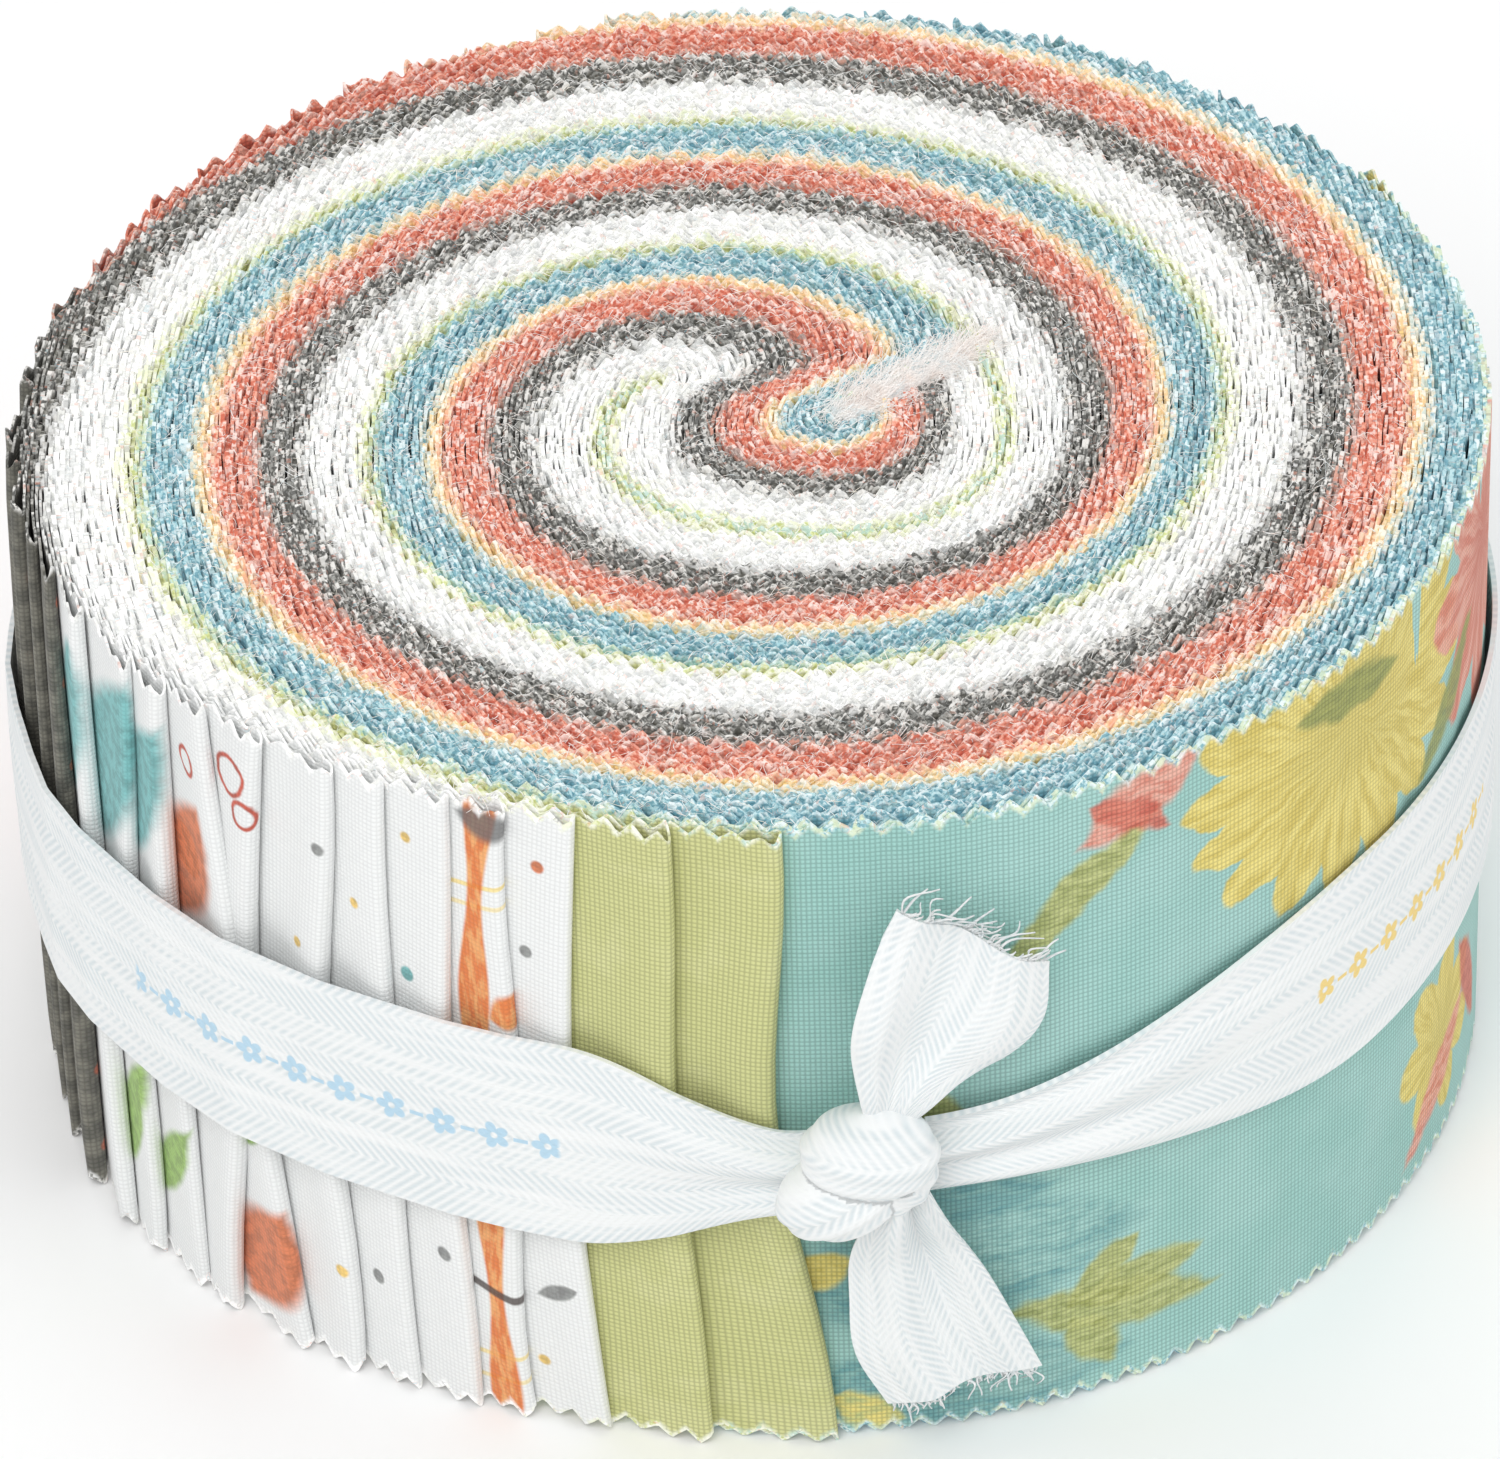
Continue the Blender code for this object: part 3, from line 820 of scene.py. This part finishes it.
def aqua_floral(where):
    """Pale aqua with painted flowers and leaves, placed where the last turn shows them."""
    def picture(finish, along, up):
        plain = finish.point(along, up)
        drift = finish.grain(plain, 0.22, 3.0)
        other = finish.grain(finish.point(up, along, 7.0), 0.22, 3.0)
        across = along + (drift - 0.5) * 2.6
        over = up + (other - 0.5) * 2.6
        cloudy = finish.grain(plain, 0.09, 2.0)
        colour = finish.mix(tint(158, 204, 197), tint(168, 210, 204), cloudy.rising(0.35, 0.65))

        def at(azimuth):
            return where(azimuth + 360.0)

        def streaks(way, reach, fine=9.0):
            lines = finish.grain(finish.point(way * fine, reach * 0.16, 3.0), 1.0, 3.0)
            return lines.rising(0.36, 0.66)

        def place_leaf(colour, start, end, width, light, dark):
            ends = [(at(start[0]), start[1]), (at(end[0]), end[1])]
            mask = leaf(finish, across, over, ends[0], ends[1], width)
            brush = finish.grain(finish.point(across * 0.5, over * 1.4), 1.0, 3.0)
            ink = finish.mix(tint(*light), tint(*dark), brush.rising(0.35, 0.68))
            return finish.mix(colour, ink, mask * 0.93)

        def place_blossom(colour, azimuth, height, radius, petals, jag, inks, fine=9.0, turn=0.0, squash=1.0):
            centre = at(azimuth)
            mask, way, reach = blossom(
                finish, across, over, centre, height, radius, petals, jag, turn, 0.4, squash)
            ink = finish.mix(tint(*inks[0]), tint(*inks[1]), streaks(way, reach, fine))
            ring = (reach * (1.0 / radius) + drift * 0.5).rising(0.85, 0.35)
            ink = finish.mix(ink, tint(*inks[2]), ring * 0.45)
            return finish.mix(colour, ink, mask * 0.95)

        olive, moss = (196, 200, 132), (160, 166, 96)
        teal = ((142, 188, 184), (110, 164, 168), (164, 206, 200))
        yellow = ((240, 222, 130), (218, 196, 96), (206, 190, 104))
        coral = ((222, 132, 112), (240, 178, 160), (198, 100, 84))
        colour = place_leaf(colour, (281, 46), (296, 59), 3.5, olive, moss)
        colour = place_leaf(colour, (289, 57), (300, 64), 5.0, coral[1], coral[0])
        colour = place_leaf(colour, (290, 61), (297, 57), 3.0, coral[0], coral[2])
        colour = place_blossom(colour, 317, 56, 20.0, 17, 0.22, yellow, 12.0, 0.3, 0.80)
        colour = place_leaf(colour, (310, 60), (323, 59), 4.0, moss, (140, 148, 88))
        colour = place_blossom(colour, 345, 56, 17.0, 9, 0.35, coral, 9.0)
        colour = place_leaf(colour, (327, 43), (339, 52), 4.0, moss, (140, 150, 96))
        colour = place_leaf(colour, (262, 24), (287, 24), 7.0, teal[1], teal[0])
        colour = place_leaf(colour, (262, 16), (294, 18), 13.0, teal[0], teal[1])
        colour = place_leaf(colour, (273, 20), (293, 19), 4.5, teal[2], teal[0])
        colour = place_leaf(colour, (272, 15), (292, 16), 3.0, teal[2], teal[0])
        colour = place_leaf(colour, (262, 5), (293, 4), 9.0, teal[1], teal[0])
        colour = place_leaf(colour, (276, 5), (292, 4), 4.5, teal[2], teal[0])
        colour = place_leaf(colour, (282, 11), (302, 7), 4.5, olive, moss)
        colour = place_leaf(colour, (289, 10), (300, 12), 4.0, olive, moss)
        colour = place_leaf(colour, (288, 10), (294, 16), 3.5, olive, moss)
        colour = place_leaf(colour, (288, 9), (292, 3), 4.0, olive, moss)
        colour = place_leaf(colour, (264, 24), (271, 32), 4.5, moss, olive)
        colour = place_leaf(colour, (271, 35), (280, 32), 5.0, moss, olive)
        colour = place_leaf(colour, (264, 16), (270, 19), 3.5, yellow[0], yellow[1])
        colour = place_leaf(colour, (268, 4), (274, 1), 4.0, yellow[0], olive)
        colour = place_blossom(colour, 333, 12, 9.0, 7, 0.35, yellow, 8.0)
        colour = place_leaf(colour, (326, 3), (339, 12), 4.5, coral[1], coral[0])
        colour = place_leaf(colour, (338, 18), (345, 5), 4.5, coral[0], coral[2])
        colour = place_blossom(colour, 365, 21, 15.0, 12, 0.28, teal, 10.0, 0.7)
        colour = place_blossom(colour, 388, 50, 16.0, 12, 0.28, yellow, 10.0, 0.7)
        colour = place_leaf(colour, (371, 40), (385, 33), 5.0, olive, moss)
        colour = place_leaf(colour, (377, 15), (391, 8), 5.0, coral[1], coral[0])
        return colour
    return picture


def twill(name, motif=None):
    """White cotton twill tape with herringbone ribs whose valleys are painted a faint blue-gray shade, in
    streaks of yarn tone, and a small printed motif.
    """
    finish = Finish(name, 0.85, 0.2)
    along, up = finish.flat_place()
    bone = abs((up * (1.0 / 6.4)).fraction() - 0.5) * 6.4
    rib = ((along + bone) * (2.0 * math.pi / 0.95)).sine() * 0.5 + 0.5
    thread = abs((up * (math.pi / 0.34)).sine()) ** 0.5
    dye = finish.grain(finish.point(along * 0.05, up * 0.7), 1.0, 2.0)
    # Painted shade: the valleys between the ribs are darkened blue-gray, more where the yarn streaks run.
    colour = finish.mix(tint(240, 242, 242), tint(206, 217, 221), (1.0 - rib) * dye.rising(0.35, 0.6) * 0.75)
    if motif:
        colour = motif(finish, along, up, colour)
    finish.paint(colour)
    finish.relief(rib * 0.7 + thread * 0.3, 0.00012, 0.6)
    return finish.material


# ---- Tape -----------------------------------------------------------------------------------
# Degrees round the roll from the knot, and the tape's lower and upper edge there
def tape_edges(from_knot):
    """Heights of the band's two edges, which the knot draws together and pulls down."""
    right = from_knot < 180.0
    away = np.where(right, from_knot, 360.0 - from_knot)
    spread = smooth(away, KNOT_HALF_ANGLE, np.where(right, GATHER_RIGHT, GATHER_LEFT))
    rise = smooth(away, KNOT_HALF_ANGLE, np.where(right, RISE_RIGHT, RISE_LEFT))
    half = 0.5 * (TAPE_WAIST + (TAPE_WIDTH - TAPE_WAIST) * spread)
    middle = WAIST_HEIGHT + (TAPE_HEIGHT - WAIST_HEIGHT) * rise
    return middle - half, middle + half


def convex_outline(points):
    """Corners of the convex outline round a set of points, anticlockwise."""
    ordered = sorted(map(tuple, points))

    def half_outline(sequence):
        chain = []
        for x, y in sequence:
            while len(chain) > 1:
                (ax, ay), (bx, by) = chain[-2:]
                if (bx - ax) * (y - ay) - (by - ay) * (x - ax) > 0.0:
                    break
                chain.pop()
            chain.append((x, y))
        return chain[:-1]

    return np.array(half_outline(ordered) + half_outline(reversed(ordered)))


def taut_radius(outline, degrees):
    """Radius of the taut loop round the outline, at angles about the axis."""
    edge = np.roll(outline, -1, axis=0) - outline
    normal = unit(np.stack([edge[:, 1], -edge[:, 0]], axis=-1))
    distance = np.sum(normal * outline, axis=1)
    direction = polar(np.ones_like(degrees), degrees)
    return 1.0 / np.max(direction @ normal.T / distance, axis=1)


def closed_sheet(name, grid, thickness, flat):
    """A closed sheet from its middle surface: rows go up it and columns along it.

    Its two sides lie half the thickness along the normal, columns' way times rows' way.
    """
    rows, columns = grid.shape[:2]
    normal = unit(np.cross(np.gradient(grid, axis=1), np.gradient(grid, axis=0)))
    half = np.broadcast_to(0.5 * np.asarray(thickness), (rows, columns))[..., None]
    vertices = np.concatenate([(grid + normal * half).reshape(-1, 3), (grid - normal * half).reshape(-1, 3)])
    front = np.arange(rows * columns).reshape(rows, columns)
    back = front + rows * columns

    def quads(a, b, c, d):
        return np.stack([a.ravel(), b.ravel(), c.ravel(), d.ravel()], axis=-1)

    polygons = np.concatenate([
        quads(front[:-1, :-1], front[:-1, 1:], front[1:, 1:], front[1:, :-1]),
        quads(back[:-1, :-1], back[1:, :-1], back[1:, 1:], back[:-1, 1:]),
        quads(front[-1, :-1], front[-1, 1:], back[-1, 1:], back[-1, :-1]),
        quads(front[0, :-1], back[0, :-1], back[0, 1:], front[0, 1:]),
        quads(front[:-1, 0], front[1:, 0], back[1:, 0], back[:-1, 0]),
        quads(front[:-1, -1], back[:-1, -1], back[1:, -1], front[1:, -1]),
    ])
    mesh = bpy.data.meshes.new(name)
    mesh.from_pydata(vertices.tolist(), [], polygons.tolist())
    store_uv(mesh, np.concatenate([flat.reshape(-1, 2)] * 2))
    mesh.set_sharp_from_angle(angle=math.radians(60.0))
    piece = bpy.data.objects.new(name, mesh)
    bpy.context.scene.collection.objects.link(piece)
    return piece


def make_band(outline):
    """The tape round the roll, its edges drawn together and its width pleated by the knot.

    It lies on the taut loop round the roll. Where it is narrower than it was woven, waves
    across it stand out from the roll, the more the narrower it is.
    """
    from_knot = np.linspace(KNOT_HALF_ANGLE, 360.0 - KNOT_HALF_ANGLE, 620)
    low, high = tape_edges(from_knot)
    across = np.linspace(0.0, 1.0, 37)[:, None]
    height = low + (high - low) * across
    degrees = KNOT_ANGLE + from_knot
    radius = taut_radius(outline, degrees) + 0.0004 + 0.5 * TAPE_THICKNESS
    spare = np.clip(1.0 - (high - low) / TAPE_WIDTH, 0.0, 1.0)
    left = (from_knot > 180.0).astype(float)
    waves = 0.5 - 0.5 * np.cos(2.0 * math.pi * ((2.0 - 0.4 * left) * across + 0.25 + 0.2 * left))
    pleat = 0.0021 * spare * waves + 0.0012 * spare * across * (1.0 - across) * 4.0
    slack = 0.00018 * (1.0 + np.sin(np.radians(from_knot * 5.0) + 6.0 * across))
    reach = radius + pleat + slack * 0.5
    flat_points = polar(reach, np.broadcast_to(degrees, reach.shape))
    grid = np.concatenate([flat_points, height[..., None]], axis=-1)
    gone = lengths(grid[18, :, :2])
    flat = np.stack(np.broadcast_arrays(gone, across * TAPE_WIDTH), axis=-1)
    piece = closed_sheet("twill_band", grid, TAPE_THICKNESS, flat)
    return piece, lambda degrees_from_knot: float(np.interp(degrees_from_knot, from_knot, gone)) * 1000.0


def lobe_reach(direction, centre, size, tilt):
    """Distance from the middle of the knot to the skin of an egg-shaped lobe around it.

    The lobe is an ellipsoid turned by tilt about the outward axis, and the distance is the
    positive root of its equation along the direction.
    """
    turn = math.radians(tilt)
    axes = np.array([[math.cos(turn), 0.0, math.sin(turn)], [0.0, 1.0, 0.0],
                     [-math.sin(turn), 0.0, math.cos(turn)]]) / np.array(size)[:, None]
    ray = direction @ axes.T
    start = axes @ -np.array(centre)
    a = np.sum(ray * ray, axis=-1)
    b = np.sum(ray * start, axis=-1)
    c = float(start @ start) - 1.0
    return (-b + np.sqrt(b * b - a * c)) / a


KNOT_LOBES = (
    ((0.0009, 0.0006, 0.0020), (0.0057, 0.0040, 0.0041), -8.0),
    ((-0.0017, 0.0004, -0.0022), (0.0052, 0.0036, 0.0037), 12.0),
    ((0.0026, -0.0004, -0.0012), (0.0041, 0.0031, 0.0036), 35.0),
)


def make_knot(front):
    """An overhand knot of tape: three lobes that meet in creases, with folds along each.

    Its surface is a closed grid round the sideways axis. The reach in each direction is the
    soft greatest of the lobes' reaches. What would lie inside the roll is pressed flat.
    """
    rows, columns = 57, 96
    polar_way = np.linspace(0.0, math.pi, rows)[1:-1, None]
    round_way = np.linspace(0.0, 2.0 * math.pi, columns, endpoint=False)[None]
    ring = np.sin(polar_way)
    sideways = np.broadcast_to(np.cos(polar_way), (rows - 2, columns))
    direction = np.stack([sideways, ring * np.cos(round_way), ring * np.sin(round_way)], axis=-1)
    direction = np.concatenate([direction.reshape(-1, 3), [[1.0, 0.0, 0.0], [-1.0, 0.0, 0.0]]])
    reaches = np.stack([lobe_reach(direction, *lobe) for lobe in KNOT_LOBES])
    edge = 0.00012
    greatest = reaches.max(axis=0)
    reach = edge * np.log(np.sum(np.exp((reaches - greatest) / edge), axis=0)) + greatest
    lobe = np.argmax(reaches, axis=0)
    tilts = np.radians(np.array([8.0, -28.0, 50.0]))[lobe]
    x, out, up = (direction * reach[:, None]).T
    strand = up * np.cos(tilts) + x * np.sin(tilts)
    reach = reach + 0.00013 * np.sin(strand * 2.0 * math.pi / 0.0021 + lobe)
    x, out, up = (direction * reach[:, None]).T
    points = np.stack([x, np.minimum(KNOT_PLACE[1] - out, front), up + KNOT_PLACE[2]], axis=-1)
    index = np.arange((rows - 2) * columns).reshape(rows - 2, columns)
    after = np.roll(index, -1, axis=1)
    body = np.stack([index[:-1].ravel(), index[1:].ravel(), after[1:].ravel(), after[:-1].ravel()], axis=-1)
    first, last = index.size, index.size + 1
    caps = [[first, int(a), int(b)] for a, b in zip(index[0], after[0])]
    caps += [[last, int(b), int(a)] for a, b in zip(index[-1], after[-1])]
    mesh = bpy.data.meshes.new("twill_knot")
    mesh.from_pydata(points.tolist(), [], body[:, ::-1].tolist() + [cap[::-1] for cap in caps])
    along = x * np.cos(tilts) - up * np.sin(tilts)
    store_uv(mesh, np.stack([along, strand + 0.01 * lobe], axis=-1))
    piece = bpy.data.objects.new("twill_knot", mesh)
    bpy.context.scene.collection.objects.link(piece)
    return piece


def curve(places, values, share):
    """A smooth line through values at places, by cubic easing between them."""
    places, values = np.asarray(places), np.asarray(values)
    slope = np.gradient(values, places)
    i = np.clip(np.searchsorted(places, share) - 1, 0, len(places) - 2)
    width = places[i + 1] - places[i]
    t = (share - places[i]) / width
    a, b, m, n = values[i], values[i + 1], slope[i] * width, slope[i + 1] * width
    from_values = (2 * t**3 - 3 * t**2 + 1) * a + (3 * t**2 - 2 * t**3) * b
    return from_values + (t**3 - 2 * t**2 + t) * m + (t**3 - t**2) * n


def make_tail(name, left, right, fold, surface, rows=56, columns=40):
    """A free end of the tape between its left and right edge lines, with soft folds.

    left and right are (share, sideways, height) lines from the knot to the cut end, in
    millimetres from the knot's middle. The cloth follows the roll's curve, and fold gives how
    far each point stands off it.
    """
    along = np.linspace(0.0, 1.0, rows)[:, None]
    across = np.linspace(0.0, 1.0, columns)[None]
    lines = []
    for edge in (left, right):
        shares, *values = zip(*edge)
        lines.append([curve(shares, value, along) for value in values])
    x = KNOT_PLACE[0] + (lines[0][0] + (lines[1][0] - lines[0][0]) * across) * 0.001
    z = KNOT_PLACE[2] + (lines[0][1] + (lines[1][1] - lines[0][1]) * across) * 0.001
    y = surface(x) - fold(along, across)
    grid = np.stack([x, y, z], axis=-1)
    if z[-1].mean() < z[0].mean():
        grid = grid[::-1]
        along = along[::-1]
    flat = np.stack(np.broadcast_arrays(along * TAIL_WEAVE, across * TAPE_WIDTH), axis=-1)
    return closed_sheet(name, grid, TAPE_THICKNESS, flat), grid


def make_threads(name, roots, ways, size, rng, steps=9, thick=0.00016):
    """Loose yarns: thin closed three-sided strands that wander from their roots.

    Each strand bends as its length times a random sine, and tapers to half its width.
    """
    share = np.linspace(0.0, 1.0, steps)
    count = len(roots)
    ways = unit(ways)
    aside = unit(np.cross(ways, [0.0, 1.0, 0.3]))
    over = np.cross(ways, aside)
    bend = rng.normal(size=(2, count)) * 0.22
    phase = rng.uniform(0.0, 6.28, count)
    line = roots[:, None] + ways[:, None] * (share * size[:, None])[..., None]
    wander = np.sin(share[None] * 4.5 + phase[:, None]) - np.sin(phase)[:, None]
    line = line + aside[:, None] * (bend[0][:, None] * size[:, None] * wander)[..., None]
    line = line + over[:, None] * (bend[1][:, None] * size[:, None] * share**2)[..., None]
    width = thick * (1.0 - 0.5 * share)
    turn = np.arange(3) * 2.0 * math.pi / 3.0
    ring = np.cos(turn)[:, None] * aside[:, None, None] + np.sin(turn)[:, None] * over[:, None, None]
    points = line[:, :, None] + ring * width[None, :, None, None]
    index = np.arange(count * steps * 3).reshape(count, steps, 3)
    after = np.roll(index, -1, axis=2)
    walls = np.stack([index[:, :-1], after[:, :-1], after[:, 1:], index[:, 1:]], axis=-1).reshape(-1, 4)
    ends = np.concatenate([index[:, 0, ::-1], index[:, -1]])
    mesh = bpy.data.meshes.new(name)
    mesh.from_pydata(points.reshape(-1, 3).tolist(), [], walls.tolist() + ends.tolist())
    store_uv(mesh, np.stack([points[..., 0].ravel(), points[..., 2].ravel()], axis=-1))
    piece = bpy.data.objects.new(name, mesh)
    bpy.context.scene.collection.objects.link(piece)
    return piece


# Name, number, length and half thickness of the scattered fibres, and of the core's wisp
LOOSE_LINT = (("lint_fine", 6800, 0.0011, 0.00004), ("lint_long", 2600, 0.0024, 0.00003))
LINT_REACH = 0.0570
WISP_COUNT = 3400
WISP_THICKNESS = 0.000045


def make_lint(rng):
    """Fibres that lie loose on the upper cut edges, and a denser wisp of them along the core.

    The scattered ones are spread evenly over the disc: their radius is its own times the
    square root of a random share. The wisp's lie along the slot from the eye to the tip.
    """
    pieces = []
    for name, count, length, thick in LOOSE_LINT:
        radius = LINT_REACH * np.sqrt(rng.random(count))
        degrees = rng.uniform(0.0, 360.0, count)
        height = STRIP_WIDTH + rng.uniform(-0.0007, 0.0003, count)
        roots = np.concatenate([polar(radius, degrees), height[:, None]], axis=1)
        way = np.radians(degrees + 90.0 + rng.normal(size=count) * 55.0)
        ways = np.stack([np.cos(way), np.sin(way), rng.normal(size=count) * 0.12], axis=-1)
        size = length * (0.5 + rng.random(count))
        pieces.append(make_threads(name, roots, ways, size, rng, 5, thick))
    start, end = eye_centre(), polar(outer_face(TIP_ANGLE), TIP_ANGLE)
    share = rng.random(WISP_COUNT)[:, None] * 1.02 - 0.04
    spread = np.clip(0.0013 - 0.0006 * share, 0.0005, None) * rng.normal(size=(WISP_COUNT, 2))
    flat = start + (end - start) * share + spread
    height = STRIP_WIDTH - 0.0011 + 0.0012 * rng.random((WISP_COUNT, 1))
    turn = math.atan2(*(end - start)[::-1]) + rng.normal(size=WISP_COUNT) * 0.5
    ways = np.stack([np.cos(turn), np.sin(turn), rng.normal(size=WISP_COUNT) * 0.15], axis=-1)
    size = 0.0012 + 0.0026 * rng.random(WISP_COUNT)
    roots = np.concatenate([flat, height], axis=1)
    pieces.append(make_threads("lint_wisp", roots, ways, size, rng, 5, WISP_THICKNESS))
    return pieces


# Colours of loose fibres: the commonest first
PALE_LINT = ((252, 252, 251), (220, 234, 237), (248, 230, 220), (252, 243, 226), (224, 223, 220))
ROSY_LINT = ((250, 246, 243), (236, 228, 224), (250, 240, 234), (252, 251, 250), (228, 236, 238))


def lint(name, inks):
    """Loose cotton fibres: mostly white, and here and there the colour of a print, with a faint painted glow.
    """
    finish = Finish(name, 0.95, 0.2)
    hue = finish.grain(finish.body_place(), 330.0, 1.0)
    colour = tint(*inks[0])
    for level, ink in zip((0.36, 0.44, 0.57, 0.65), inks[1:]):
        colour = finish.mix(colour, tint(*ink), abs(hue - level).rising(0.035, 0.015) * 0.8)
    finish.paint(colour)
    # Painted light: the fibres glow faintly in their own colour, lifting their shade.
    finish.plug(finish.shader.inputs["Emission Color"], colour)
    finish.shader.inputs["Emission Strength"].default_value = 0.16
    return finish.material


def small_flowers(start, end, height, ink):
    """A row of small flowers joined by dashes, printed along the tape from start to end."""
    def motif(finish, along, up, colour):
        period = 4.6
        share = (along * (1.0 / period)).fraction()
        across, over = (share - 0.5) * period, up - height
        reach = (across * across + over * over).root()
        edge = abs((over.angle(across) * 2.5).sine()) * 0.65 + 0.75
        flower = (reach - edge).rising(0.12, -0.12)
        centre = reach.rising(0.22, 0.40)
        dash = abs(over).rising(0.26, 0.14) * abs(across).rising(1.62, 1.74)
        inside = along.rising(start, start + 0.5) * along.rising(end, end - 0.5)
        mask = (flower * centre).most(dash) * inside
        return finish.mix(colour, tint(*ink), mask * 0.9)
    return motif


# ---- The whole roll -------------------------------------------------------------------------
def build():
    make_camera()
    make_studio()

    outer_points = []
    for number in range(1, STRIP_COUNT + 1):
        piece, line, gone, zone = make_strip(number)
        half = len(line) // 2
        angle = np.degrees(np.unwrap(np.arctan2(line[:half, 1], line[:half, 0])))
        angle += round((fold_place(number) - angle[-1]) / 360.0) * 360.0
        tail = np.maximum.accumulate(angle[half // 2:])
        where = lambda degrees, a=tail, g=gone[half // 2:half]: float(np.interp(degrees, a, g)) * 1000.0
        name = STRIP_COLOURS[number - 1]
        piece.data.materials.append(cotton(number, name, make_picture(number, where)))
        outer_points.append(line[half // 2:] + side_normals(line)[half // 2:] * CLOTH)
        outer_points.append(zone.reshape(-1, 2) * (1.0 + CLOTH / 0.06))
        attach(piece, "roll")
        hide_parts("strip_{:02d}_{}".format(number, name))
    outline = convex_outline(np.concatenate([points[::3] for points in outer_points]))
    print("outline", outline.min(axis=0), outline.max(axis=0))

    band, where = make_band(outline)
    flowers = small_flowers(where(295.0), where(336.0), 9.6, (176, 211, 232))
    more = small_flowers(where(40.0), where(70.0), 9.6, (240, 208, 110))
    band.data.materials.append(twill("twill_printed", lambda f, a, u, c: more(f, a, u, flowers(f, a, u, c))))
    white = twill("twill_plain")
    front = outline[:, 1].min() - 0.0003
    knot = make_knot(front)

    def surface(x):
        degrees = np.degrees(np.arctan2(ROLL_FRONT, np.ravel(x)))
        radius = taut_radius(outline, degrees) + 0.0016
        return (radius * np.sin(np.radians(degrees))).reshape(np.shape(x))

    def upper_fold(along, across):
        curl = np.exp(-((across - 0.10) / 0.16) ** 2) * 0.0022 * np.sin(math.pi * np.clip(along * 1.15, 0, 1))
        valley = 0.0008 * np.sin(3.0 * math.pi * across + 0.6) * smooth(along, 0.0, 0.5)
        return curl + valley + 0.0022 * (1.0 - smooth(along, 0.0, 0.35)) + 0.0012

    upper, upper_grid = make_tail(
        "twill_tail_upper",
        ((0.0, -0.5, 4.5), (0.15, -1.0, 7.5), (0.4, -1.5, 13.0), (0.7, 0.0, 19.0), (1.0, 2.5, 24.5)),
        ((0.0, 3.5, 4.5), (0.15, 6.5, 6.0), (0.4, 11.5, 7.5), (0.7, 14.5, 10.5), (1.0, 15.0, 16.0)),
        upper_fold, surface)

    def lower_fold(along, across):
        ridge = 0.0015 * np.exp(-((across - 0.40 + 0.10 * along) / 0.13) ** 2) * (1.0 - 0.6 * along)
        valley = -0.0008 * np.exp(-((across - 0.62) / 0.10) ** 2) * (1.0 - smooth(along, 0.2, 0.8))
        root = 0.0020 * (1.0 - smooth(along, 0.0, 0.3))
        return ridge + valley + root + 0.0014 + 0.0005 * np.sin(2.5 * math.pi * across)

    lower, lower_grid = make_tail(
        "twill_tail_lower",
        ((0.0, 0.0, -3.5), (0.15, -1.5, -8.0), (0.45, -2.0, -15.0), (0.75, -1.5, -21.0), (1.0, 1.0, -26.5)),
        ((0.0, 4.5, -3.0), (0.15, 6.5, -8.0), (0.45, 9.5, -14.0), (0.75, 12.0, -20.0), (1.0, 14.0, -25.0)),
        lower_fold, surface)
    rng = np.random.default_rng(7)
    strands = []
    for name, grid, way, reach in (("upper_threads", upper_grid[-1], (0.80, -0.25, 0.45), 0.0032),
                                   ("lower_threads", lower_grid[0], (0.10, -0.10, -1.0), 0.0014)):
        pick = rng.uniform(0.03, 0.97, 70)
        share = np.linspace(0.0, 1.0, len(grid))
        roots = np.stack([np.interp(pick, share, grid[:, i]) for i in range(3)], axis=-1)
        ways = np.array(way) + rng.normal(size=(70, 3)) * 0.22
        size = 0.0006 + reach * rng.random(70) ** 3
        strands.append(make_threads(name, roots, ways, size, rng))
    for piece in (knot, upper, lower, *strands):
        piece.data.materials.append(white)
    pale = lint("lint_pale", PALE_LINT)
    rosy = lint("lint_rosy", ROSY_LINT)
    for piece, dye in zip(make_lint(rng), (pale, pale, rosy)):
        piece.data.materials.append(dye)
        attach(piece, "roll")
    for piece in (band, knot):
        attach(piece, "tie")
    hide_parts("tape_band")
    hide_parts("tape_knot")
    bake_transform(upper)
    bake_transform(lower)
    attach(strands[0], "tail_upper")
    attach(strands[1], "tail_lower")
    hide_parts("tape_tail_upper")
    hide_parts("tape_tail_lower")


build()
